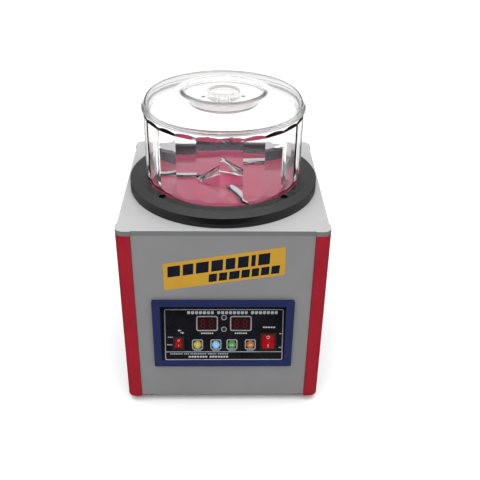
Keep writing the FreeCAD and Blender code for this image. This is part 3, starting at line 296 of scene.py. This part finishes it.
def piece(name, verts, faces, body, slot, finish=None, sharp_angle=None):
    """Makes a mesh piece from points in mm, with its finish (the slot's own unless another is
    given) and its body.

    A piece with a sharp_angle is smooth but for edges that turn by more than it.
    """
    mesh = bpy.data.meshes.new(name)
    mesh.from_pydata([(x * MM, y * MM, z * MM) for x, y, z in verts], [], faces)
    work = bmesh.new()
    work.from_mesh(mesh)
    bmesh.ops.remove_doubles(work, verts=work.verts, dist=1e-7)
    bmesh.ops.recalc_face_normals(work, faces=work.faces)
    for face in work.faces:
        face.smooth = sharp_angle is not None
    if sharp_angle is not None:
        for edge in work.edges:
            if edge.is_manifold and edge.calc_face_angle(0) > math.radians(sharp_angle):
                edge.smooth = False
    work.to_mesh(mesh)
    work.free()
    obj = bpy.data.objects.new(name, mesh)
    bpy.context.scene.collection.objects.link(obj)
    mesh.materials.append((finish or FINISH[slot]).material)
    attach(obj, body)
    return obj


def lathe(profile, steps, radius_at=None):
    """Turns (radius, z) points, from axis to axis; radius_at(radius, angle) may change one."""
    verts = []
    faces = []
    rows = len(profile)
    for step in range(steps):
        angle = 2 * math.pi * step / steps
        for radius, z in profile:
            reach = radius_at(radius, angle) if radius_at else radius
            verts.append((reach * math.cos(angle), AXIS_Y + reach * math.sin(angle), z))
    for step in range(steps):
        here = step * rows
        there = (step + 1) % steps * rows
        for row in range(rows - 1):
            faces.append((here + row, there + row, there + row + 1, here + row + 1))
    return verts, faces


def arc(centre_r, centre_z, radius, start, stop, steps):
    """Points on an arc in the (radius, z) plane; angles in degrees."""
    points = []
    for step in range(steps + 1):
        angle = math.radians(start + (stop - start) * step / steps)
        points.append((centre_r + radius * math.cos(angle), centre_z + radius * math.sin(angle)))
    return points


def straight(start, stop, steps):
    """Evenly spaced points from start to stop."""
    return [(start[0] + (stop[0] - start[0]) * step / steps,
             start[1] + (stop[1] - start[1]) * step / steps) for step in range(steps + 1)]


# ---------------------------------------------------------------- bowl and lid

FLATS = 22
FLATS_TURN = math.radians(13.66)
RIBS = (51, 171, 291)
BOWL = {"low": 276.0, "high": 381.1, "outer": 101.3, "round": 24.0, "base": 3.5,
        "inner": 96.6, "inner_round": 20.0, "flat": 94.6, "ledge_low": 372.0,
        "ledge_high": 378.0, "foot": 27.0, "tip": 6.0, "top": 309.0, "rib": 3.5,
        "rib_start": 28.0, "rib_end": 82.0}
RIDGE_Z = BOWL["low"] + BOWL["base"] + 0.3


def flat_radius(z, angle):
    """Distance to the bowl's inner wall: flats that lean out to a round rim."""
    pitch = 2 * math.pi / FLATS
    off_centre = (angle - FLATS_TURN + pitch / 2) % pitch - pitch / 2
    lean = (z - BOWL["ledge_low"]) / (BOWL["ledge_high"] - BOWL["ledge_low"])
    plane = BOWL["flat"] + (BOWL["inner"] - BOWL["flat"]) * min(1.0, max(0.0, lean))
    if z >= BOWL["ledge_high"]:
        return BOWL["inner"]
    return min(BOWL["inner"], plane / math.cos(off_centre))


def rib_height(radius, angle, floor_z):
    """Height of the bowl's floor where one of its three ridges stands on it."""
    best = floor_z
    for heading in RIBS:
        turn = angle - math.radians(heading)
        if math.cos(turn) <= 0:
            continue
        aside = abs(radius * math.sin(turn))
        if aside < BOWL["rib"]:
            best = max(best, RIDGE_Z + math.sqrt(BOWL["rib"] ** 2 - aside ** 2))
    return best


def bowl_angles():
    """Directions of the mesh's columns: even ones, and close ones along each ridge."""
    angles = [FLATS_TURN + math.pi / FLATS + 2 * math.pi * step / (FLATS * 12)
              for step in range(FLATS * 12)]
    for heading in RIBS:
        for aside in (0, 0.35, 0.7, 1.05, 1.45, 1.9, 2.4, 3.0, 3.7, 4.5, 5.5, 6.6, 7.8):
            for side in {aside, -aside}:
                angles.append(math.radians(heading + side))
    return sorted(angle % (2 * math.pi) for angle in angles)


def make_bowl():
    """Round outside, flat-sided inside, with a hollow cone and three ridges on the floor."""
    low, high, outer, rounding = BOWL["low"], BOWL["high"], BOWL["outer"], BOWL["round"]
    top, lip = BOWL["top"], 0.6
    outside = [(0.0, top - 3.0), (4.0, top - 3.0)]
    outside += straight((5.0, top - 3.6), (BOWL["foot"] - 3.4, low + 0.6), 12)
    outside += straight((BOWL["foot"] - 2.6, low), (outer - rounding, low), 8)
    outside += arc(outer - rounding, low + rounding, rounding, -90, 0, 36)[1:]
    outside += straight((outer, low + rounding), (outer, high - lip), 12)[1:]
    outside += arc(outer - lip, high - lip, lip, 0, 90, 4)[1:]
    floor_z = low + BOWL["base"]
    bend = BOWL["inner_round"]
    flat_foot = BOWL["flat"] / math.cos(math.pi / FLATS)
    wall = [high, high - lip, BOWL["ledge_high"] + 0.01]
    wall += [z for _, z in straight((0, BOWL["ledge_high"] - 0.01), (0, BOWL["ledge_low"]), 18)]
    wall += [z for _, z in straight((0, BOWL["ledge_low"]), (0, floor_z + bend), 20)][1:]
    curve = arc(flat_foot - bend, floor_z + bend, bend, 0, -90, 40)[1:]
    curve += straight((flat_foot - bend, floor_z), (BOWL["foot"] + 1.2, floor_z), 14)[1:]
    cone = [(BOWL["foot"] + 0.2, floor_z + 0.25)]
    cone += straight((BOWL["foot"] - 0.8, floor_z + 1.4), (BOWL["tip"] + 1.0, top - 1.4), 16)
    cone += [(BOWL["tip"] + 0.2, top - 0.5), (BOWL["tip"] - 1.2, top - 0.1)]
    cone += [(BOWL["tip"] / 2, top), (0.0, top)]
    verts, faces = [], []
    angles = bowl_angles()
    for angle in angles:
        column = list(outside)
        for z in wall:
            trim = lip if z == high else 0.0
            column.append((flat_radius(z, angle) + trim, z))
        for radius, z in curve:
            column.append((min(radius, flat_radius(z, angle)), rib_height(radius, angle, z)))
        for radius, z in cone:
            column.append((radius, rib_height(radius, angle, z)))
        for radius, z in column:
            verts.append((radius * math.cos(angle), AXIS_Y + radius * math.sin(angle), z))
    rows = len(verts) // len(angles)
    for step in range(len(angles)):
        here = step * rows
        there = (step + 1) % len(angles) * rows
        for row in range(rows - 1):
            faces.append((here + row, there + row, there + row + 1, here + row + 1))
    bowl = piece("bowl_shell", verts, faces, "bowl", "bowl_clear", sharp_angle=11)
    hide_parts("bowl")


def lid_profile():
    """Section of the lid: recess, crown, rounded shoulder, rim, spigot, and the inside."""
    section = [(0.0, 388.0)] + straight((5.0, 388.0), (41.0, 388.0), 6)
    section += arc(41.0, 390.5, 2.5, -90, -24, 6)[1:]
    section += straight((43.3, 389.5), (49.0, 402.2), 5)[1:]
    section += [(49.4, 402.9), (50.3, 403.3), (51.8, 403.28), (60.0, 402.75)]
    section += [(70.0, 401.7), (80.0, 400.15), (86.0, 399.0)]
    section += [(90.0, 398.0), (93.6, 396.7), (96.4, 394.9), (98.3, 392.7), (99.4, 390.0)]
    section += [(99.9, 387.6), (100.2, 385.9), (100.6, 385.45), (101.4, 385.3)]
    section += arc(102.5, 384.3, 1.0, 90, 0, 5)
    section += arc(103.0, 381.9, 0.5, 0, -90, 3)
    section += [(98.0, 381.4), (95.8, 381.4), (95.8, 380.9), (95.8, 379.7)]
    section += arc(95.0, 379.5, 0.8, -20, -160, 5)
    section += [(94.1, 381.4), (94.6, 383.0), (97.6, 383.2), (98.5, 384.2), (98.6, 385.8)]
    section += [(98.3, 387.4), (97.9, 389.7), (97.0, 392.1), (95.4, 394.0), (93.0, 395.6)]
    section += [(89.6, 396.8), (85.8, 397.75), (79.8, 398.9), (69.8, 400.45), (59.9, 401.5)]
    section += [(51.0, 402.0), (50.4, 401.6), (45.1, 388.6), (44.3, 386.6), (43.0, 385.7)]
    section += straight((41.0, 385.5), (5.0, 385.5), 6) + [(0.0, 385.5)]
    return section


def make_lid():
    """The lid, turned from its section."""
    verts, faces = lathe(lid_profile(), 192)
    lid = piece("lid_dome", verts, faces, "lid", "lid_clear", sharp_angle=40)
    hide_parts("lid")


def make_knob():
    """Ribbed grip on a neck, with a shallow dish in its top."""
    ribs, rib_depth, plain_radius = 36, 2.0, 19.5
    section = [(0.0, 388.3), (13.0, 388.3), (14.0, 388.9), (14.0, 391.0), (15.0, 391.5)]
    section += [(20.2, 391.5), (21.0, 392.3)] + straight((21.0, 392.3), (21.0, 400.4), 4)[1:]
    section += [(20.7, 401.1), (20.0, 401.5), (17.6, 401.5), (16.8, 401.2), (16.2, 400.7)]
    section += [(10.0, 400.45), (4.0, 400.4), (0.0, 400.4)]

    def radius_at(radius, angle):
        if radius < plain_radius:
            return radius
        return radius - rib_depth * (1 - abs(math.cos(ribs * angle / 2)))

    verts, faces = lathe(section, ribs * 10, radius_at)
    knob = piece("knob_grip", verts, faces, "lid", "knob_clear", sharp_angle=45)
    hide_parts("lid_knob")


def make_lid_tabs():
    """Two small dark gate marks beside the knob, and two ticks at the recess's front."""
    tabs = []
    for x, y in ((-25.9, 8.4), (24.8, 10.6)):
        tabs.append(solid_outline(rounded_rectangle(x, y, 4.6, 2.6, 1.0), 387.9, 388.7, level))
    for x in (0.6, 3.8):
        tabs.append(solid_outline(rounded_rectangle(x, -46.0, 0.7, 4.0, 0.3), 387.9, 388.3,
                                  level))
    verts, faces = merge(tabs)
    piece("lid_gate_marks", verts, faces, "lid", "lid_clear", GATE_GREY)


def make_rib_highlights():
    """Painted highlight: white strips along the bowl's three ridges, narrowing toward their
    ends, standing in for the light the ridges' tops catch.
    """
    stations, across, degrees_apart = 24, 8, 13
    end_length, end_width = 6.0, 0.25
    above, below = 0.12, 0.1
    length = BOWL["rib_end"] - BOWL["rib_start"]
    upper = list(range(across + 1))
    lower = list(range(2 * across + 1, across, -1))
    loop = upper + lower
    strips = []
    for heading in RIBS:
        turn = math.radians(heading)
        along = Vector((math.cos(turn), math.sin(turn), 0.0))
        aside = Vector((-math.sin(turn), math.cos(turn), 0.0))
        verts = []
        for station in range(stations + 1):
            reach = BOWL["rib_start"] + length * station / stations
            to_end = min(reach - BOWL["rib_start"], BOWL["rib_end"] - reach)
            width = min(1.0, end_width + (1 - end_width) * to_end / end_length)
            for radius in (BOWL["rib"] + above, BOWL["rib"] - below):
                for step in upper:
                    tip = math.radians(90 + width * (step - across / 2) * degrees_apart)
                    spot = along * reach + aside * radius * math.cos(tip)
                    verts.append((spot.x, AXIS_Y + spot.y, RIDGE_Z + radius * math.sin(tip)))
        last = stations * len(loop)
        faces = [tuple(loop), tuple(last + k for k in reversed(loop))]
        for start in range(0, last, len(loop)):
            end = start + len(loop)
            for a, b in zip(loop, loop[1:] + loop[:1]):
                faces.append((start + a, start + b, end + b, end + a))
        strips.append((verts, faces))
    verts, faces = merge(strips)
    piece("bowl_rib_highlights", verts, faces, "bowl", "bowl_clear", RIB_HIGHLIGHT_WHITE, sharp_angle=50)


# ---------------------------------------------------------------- control plate

TILT = math.radians(15)
PLATE_BASE = Vector((1.1, -136.1, 75.1))
PLATE_UP = Vector((0.0, math.sin(TILT), math.cos(TILT)))
PLATE_OUT = Vector((0.0, -math.cos(TILT), math.sin(TILT)))


def on_plate(x, s, out=0.0):
    """Point at x across and s up the sloped control plate, standing out of it."""
    return tuple(PLATE_BASE + Vector((x, 0, 0)) + PLATE_UP * s + PLATE_OUT * out)


def rounded_rectangle(x, s, width, height, radius, steps=6):
    """Outline points of a rounded rectangle about (x, s), with steps per corner."""
    points = []
    for quarter in range(4):
        sign_x = (1, -1, -1, 1)[quarter]
        sign_s = (1, 1, -1, -1)[quarter]
        for step in range(steps + 1):
            angle = math.pi / 2 * (quarter + step / steps)
            points.append((x + sign_x * (width / 2 - radius) + radius * math.cos(angle),
                           s + sign_s * (height / 2 - radius) + radius * math.sin(angle)))
    return points


def circle(x, s, radius):
    """Outline points of a circle about (x, s)."""
    steps = 40
    return [(x + radius * math.cos(2 * math.pi * step / steps),
             s + radius * math.sin(2 * math.pi * step / steps)) for step in range(steps)]


def level(x, y, z):
    """Leaves a point where it is, for shapes that lie flat."""
    return (x, y, z)


def solid_outline(outline, low, high, place):
    """Flat solid between two offsets over an outline, as points and faces."""
    count = len(outline)
    verts = [place(x, s, high) for x, s in outline] + [place(x, s, low) for x, s in outline]
    faces = [tuple(range(count)), tuple(range(2 * count - 1, count - 1, -1))]
    for step in range(count):
        after = (step + 1) % count
        faces.append((step, step + count, after + count, after))
    return verts, faces


def solid_loop(outer, inner, low, high, place):
    """Flat solid ring between an outer and an inner outline with equal counts."""
    count = len(outer)
    verts = []
    for outline, offset in ((outer, high), (inner, high), (inner, low), (outer, low)):
        verts += [place(x, s, offset) for x, s in outline]
    faces = []
    for lap in range(4):
        for step in range(count):
            after = (step + 1) % count
            here, there = lap * count, (lap + 1) % 4 * count
            faces.append((here + step, here + after, there + after, there + step))
    return verts, faces


def merge(parts):
    """Joins several (points, faces) into one."""
    verts, faces = [], []
    for some_verts, some_faces in parts:
        start = len(verts)
        verts += some_verts
        faces += [tuple(start + index for index in face) for face in some_faces]
    return verts, faces


INK_LOW, INK_HIGH = -0.05, 0.08
SILVER_INK = coat("silver_ink", (0.36, 0.37, 0.39), 0.42, 0.1, 90, 1500, 0.004, Metallic=0.25)
PALE_INK = coat("pale_ink", (0.40, 0.41, 0.43), 0.5, 0.1, 200, 1500, 0.004)
NAVY_INK = coat("navy_ink", (0.006, 0.008, 0.02), 0.45, 0.15, 80, 1500, 0.004,
                Specular_IOR_Level=0.2)
SEGMENT_INK = coat("segment_ink", (0.055, 0.009, 0.011), 0.3, 0.1, 300, 1500, 0.002)
MUSTARD = coat("label_mustard", (0.48, 0.265, 0.014), 0.42, 0.03, 30, 900, 0.006,
               Specular_IOR_Level=0.3)


def frame_line(x, s, width, height, radius, line):
    """Printed rounded frame, line wide."""
    outer = rounded_rectangle(x, s, width, height, radius)
    inner = rounded_rectangle(x, s, width - 2 * line, height - 2 * line,
                              max(0.15, radius - line))
    return solid_loop(outer, inner, INK_LOW, INK_HIGH, on_plate)


def bar(x, s, width, height, low=INK_LOW, high=INK_HIGH, place=on_plate):
    """Printed bar with slightly rounded ends."""
    outline = rounded_rectangle(x, s, width, height, min(width, height) * 0.3, 3)
    return solid_outline(outline, low, high, place)


BUTTONS = (-34.8, -10.6, 10.6, 34.8)
BUTTON_S = 23.2
WINDOWS = (-22.1, 22.1)
WINDOW_S = 53


def make_print():
    """The control plate's printed lines and plain marks, a film's thickness proud."""
    lines = [frame_line(0, 36.9, 155.4, 72.2, 2.2, 1.1), bar(0, 12.6, 153.6, 1.1)]
    for x in WINDOWS:
        lines.append(frame_line(x, WINDOW_S, 28.4, 21.2, 3.0, 1.5))
    for s in (45, 61.4):
        lines.append(solid_loop(circle(0, s, 3.65), circle(0, s, 2.65), INK_LOW, INK_HIGH,
                                on_plate))
    for x in BUTTONS:
        lines.append(frame_line(x, BUTTON_S, 14.4, 14.4, 2.4, 1.4))
    verts, faces = merge(lines)
    piece("printed_lines", verts, faces, "case", "plate_black", SILVER_INK)


def block_row(x_from, x_to, s, height, words):
    """Plain blocks in groups across a row, as a stand-in for a line of print."""
    pitch, word_gap = 1.3, 0.8
    units = sum(words) * pitch + (len(words) - 1) * word_gap - (pitch - 1)
    width = (x_to - x_from) / units
    blocks = []
    x = x_from
    for count in words:
        for _ in range(count):
            blocks.append(bar(x + width / 2, s, width, height))
            x += pitch * width
        x += word_gap * width
    return blocks


def make_marks():
    """Small generic marks where the plate is printed: plain blocks, no letters."""
    marks = block_row(-48, 70, 68.3, 4.2, (7, 8, 7))
    marks += block_row(-70.8, 5.6, 9.6, 1.2, (7, 3, 9, 5, 6))
    marks += block_row(-46.6, 5.6, 5.5, 2.6, (7, 7))
    for x in WINDOWS:
        marks += block_row(x - 8, x + 8, 39.2, 2.0, (6,))
    for x in BUTTONS:
        marks += block_row(x - 4.5, x + 4.5, 14.9, 1.0, (4,))
    marks += block_row(51, 67.2, 47.6, 2.0, (5,))
    marks += [bar(74.1, 38.5, 3.2, 1.2), bar(74.2, 18.7, 3.2, 1.2)]
    marks += block_row(-73.6, -67.2, 33.6, 1.2, (3,))
    marks += block_row(-74.8, -68.0, 22.8, 1.2, (4,))
    verts, faces = merge(marks)
    piece("printed_marks", verts, faces, "case", "plate_black", PALE_INK)


def make_arrows():
    """Two opposed arrows over the reversing switch."""
    arrows = []
    for sign, x, s in ((1, -58.2, 43.0), (-1, -54.6, 39.8)):
        head = [(x - 2.6 * sign, s), (x + 0.2 * sign, s + 1.6 * sign),
                (x + 0.2 * sign, s - 1.6 * sign)]
        stem = [(x + 0.2 * sign, s + 0.5), (x + 2.4 * sign, s + 0.5),
                (x + 2.4 * sign, s - 0.5), (x + 0.2 * sign, s - 0.5)]
        arrows.append(solid_outline(head, INK_LOW, INK_HIGH, on_plate))
        arrows.append(solid_outline(stem, INK_LOW, INK_HIGH, on_plate))
    verts, faces = merge(arrows)
    piece("reverse_arrows", verts, faces, "case", "plate_black", PALE_INK)


def seven_segments(x, s):
    """An unlit figure eight in seven bars."""
    wide, tall, line, low, high = 4.6, 4.9, 1.1, -0.12, -0.03
    parts = [bar(x, s + row * (tall + 0.6), wide - 1.2, line, low, high) for row in (-1, 0, 1)]
    for sign_x in (-1, 1):
        for sign_s in (-1, 1):
            parts.append(bar(x + sign_x * wide / 2, s + sign_s * (tall / 2 + 0.3), line,
                             tall - 0.9, low, high))
    return parts


def make_digits():
    """Two unlit figures in each window."""
    parts = []
    for x in WINDOWS:
        for offset in (-5.4, 5.4):
            parts += seven_segments(x + offset, WINDOW_S)
    verts, faces = merge(parts)
    piece("unlit_digits", verts, faces, "case", "window_red", SEGMENT_INK)


def make_button_icons():
    """A small pale pictogram on each cap."""
    low, high = 1.9, 2.05
    triangle = [(-1.0, 1.5), (1.3, 0.0), (-1.0, -1.5)]
    for number, x in enumerate(BUTTONS, start=1):
        if number == 1:
            parts = [solid_outline(rounded_rectangle(x, BUTTON_S, 2.6, 2.6, 0.5), low, high,
                                   on_plate)]
        elif number == 2:
            parts = [solid_loop(circle(x, BUTTON_S, 2.3), circle(x, BUTTON_S, 1.3), low, high,
                                on_plate)]
        elif number == 3:
            parts = [solid_outline([(x + a + shift, BUTTON_S + b) for a, b in triangle],
                                   low, high, on_plate) for shift in (-1.4, 1.4)]
        else:
            parts = [solid_outline([(x + sign * (a + 1.5), BUTTON_S + b) for a, b in triangle],
                                   low, high, on_plate) for sign in (-1, 1)]
        verts, faces = merge(parts)
        slot = "button_" + ("yellow", "blue", "green", "orange")[number - 1]
        piece("button_icon_%d" % number, verts, faces, "button_%d" % number, slot, PALE_INK)


def on_rocker(centre_x, centre_s):
    """Places points on a two-way rocker's face as it lies at rest, tipped nine degrees."""
    lean = math.radians(9)
    waist, pivot_depth = 2.2, 1.5

    def place(x, y, out=0.0):
        height = waist + abs(y) * math.tan(lean) + out
        along = y * math.cos(lean) + height * math.sin(lean)
        rise = height * math.cos(lean) - y * math.sin(lean)
        return on_plate(centre_x + x, centre_s + along, rise - pivot_depth)

    return place


def make_rocker_marks():
    """Plain ring and stroke on the power rocker, and a smaller pair on the other."""
    for label, x, s, size in (("power", 58.2, 27.5, 1.0), ("reverse", -59.7, 25.4, 0.62)):
        place = on_rocker(x, s)
        ring = solid_loop(circle(0, 5.6 * size, 2.2 * size), circle(0, 5.6 * size, 1.5 * size),
                          INK_LOW, INK_HIGH, place)
        stroke = bar(0, -5.6 * size, 0.8 * size, 4.2 * size, place=place)
        verts, faces = merge([ring, stroke])
        piece(label + "_rocker_marks", verts, faces, label + "_switch", "rocker_red", PALE_INK)


# ---------------------------------------------------------------- label on the front panel

PANEL_FRONT = -133.1


def on_front(x, z, out=0.0):
    """Point on the front panel, standing out of it."""
    return (x, PANEL_FRONT - out, z)


def make_label():
    """Slanted mustard label with two rows of plain navy blocks."""
    corners = [(-74.2, 226.2), (75.3, 251.1), (76.0, 210.6), (-73.5, 187.3)]
    verts, faces = solid_outline(corners, 0.0, 0.14, on_front)
    piece("front_label", verts, faces, "case", "panel_paint", MUSTARD)

    def on_label(across, up, out=0.0):
        left = Vector(corners[3]).lerp(Vector(corners[0]), up)
        right = Vector(corners[2]).lerp(Vector(corners[1]), up)
        spot = left.lerp(right, across)
        return (spot.x, PANEL_FRONT - out, spot.y)

    slant = 0.006
    blocks = []
    for low, high, start, stop, lengths, gap in (
            (0.47, 0.87, 0.033, 0.872, (12, 10, 12, 11, 9, 10, 4, 11), 2.6),
            (0.09, 0.38, 0.369, 0.952, (8, 8, 10, 8, 7, 8, 8), 2.0)):
        total = sum(lengths) + gap * (len(lengths) - 1)
        scale = (stop - start) / total
        place = start
        for length in lengths:
            outline = [(place, low), (place + length * scale, low),
                       (place + length * scale + slant, high), (place + slant, high)]
            blocks.append(solid_outline(outline, 0.1, 0.2, on_label))
            place += (length + gap) * scale
    verts, faces = merge(blocks)
    piece("front_label_bars", verts, faces, "case", "panel_paint", NAVY_INK)


# ---------------------------------------------------------------- floor, sky and camera

def make_floor():
    """A wide pale floor, in metres, kept out of the reflections in the clear plastic."""
    half = 40.0
    mesh = bpy.data.meshes.new("floor")
    mesh.from_pydata([(-half, -half, 0), (half, -half, 0), (half, half, 0), (-half, half, 0)],
                     [], [(0, 1, 2, 3)])
    floor = bpy.data.objects.new("floor", mesh)
    bpy.context.scene.collection.objects.link(floor)
    paper = coat("floor_paper", (0.93, 0.93, 0.93), 0.9, 0.004, 3, 300, 0.01,
                 Specular_IOR_Level=0.0)
    mesh.materials.append(paper.material)
    floor.visible_glossy = False


def make_world():
    """Sky dim in front and dark below, with a wide soft bright cap, and white where seen."""
    world = bpy.data.worlds.new("studio")
    bpy.context.scene.world = world
    world.use_nodes = True
    nodes, links = world.node_tree.nodes, world.node_tree.links
    background = nodes["Background"]
    place = nodes.new("ShaderNodeTexCoord")

    def toward(direction, low, high, dim, bright):
        """Brightness that rises as the sky turns toward a direction."""
        dot = nodes.new("ShaderNodeVectorMath")
        dot.operation = "DOT_PRODUCT"
        dot.inputs[1].default_value = direction
        links.new(place.outputs["Generated"], dot.inputs[0])
        ramp = nodes.new("ShaderNodeMapRange")
        ramp.interpolation_type = "SMOOTHSTEP"
        ramp.inputs["From Min"].default_value = low
        ramp.inputs["From Max"].default_value = high
        ramp.inputs["To Min"].default_value = dim
        ramp.inputs["To Max"].default_value = bright
        links.new(dot.outputs["Value"], ramp.inputs["Value"])
        return ramp.outputs["Result"]

    def combine(operation, first, second):
        node = nodes.new("ShaderNodeMath")
        node.operation = operation
        links.new(first, node.inputs[0])
        links.new(second, node.inputs[1])
        return node.outputs["Value"]

    lean = math.radians(18)
    sides = toward((0.0, 1.0, 0.0), -0.5, 0.45, 0.32, 0.75)
    cap = toward((0.0, -math.sin(lean), math.cos(lean)), 0.68, 0.84, 0.0, 2.4)
    above = toward((0.0, 0.0, 1.0), -0.06, 0.12, 0.04, 1.0)
    lighting = combine("MULTIPLY", combine("ADD", sides, cap), above)
    seen = nodes.new("ShaderNodeLightPath").outputs["Is Camera Ray"]
    links.new(combine("MAXIMUM", lighting, seen), background.inputs["Strength"])
    background.inputs["Color"].default_value = (1.0, 1.0, 1.0, 1.0)


def make_camera():
    """Camera from its pitch, yaw and roll in radians and its place in mm."""
    pitch, yaw, roll = 0.5457, -0.0300, 0.0177
    eye = Vector((-1.52, -843.13, 692.01)) * MM
    right = Vector((math.cos(yaw), math.sin(yaw), 0))
    forward = Vector((-math.sin(yaw) * math.cos(pitch), math.cos(yaw) * math.cos(pitch),
                      -math.sin(pitch)))
    up = Vector((-math.sin(yaw) * math.sin(pitch), math.cos(yaw) * math.sin(pitch),
                 math.cos(pitch)))
    across = right * math.cos(roll) + up * math.sin(roll)
    above = up * math.cos(roll) - right * math.sin(roll)
    data = bpy.data.cameras.new("view")
    data.sensor_width = 36.0
    data.lens = 52.14
    camera = bpy.data.objects.new("view", data)
    turn = Matrix((across, above, -forward)).transposed().to_4x4()
    camera.matrix_world = Matrix.Translation(eye) @ turn
    bpy.context.scene.collection.objects.link(camera)
    bpy.context.scene.camera = camera


finish_nodes()
make_bowl()
make_lid()
make_knob()
make_lid_tabs()
make_rib_highlights()
make_print()
make_marks()
make_arrows()
make_digits()
make_button_icons()
make_rocker_marks()
make_label()
make_floor()
make_world()
make_camera()

scene = bpy.context.scene
scene.view_settings.view_transform = "Standard"
scene.cycles.max_bounces = 24
scene.cycles.transmission_bounces = 20
scene.cycles.glossy_bounces = 8
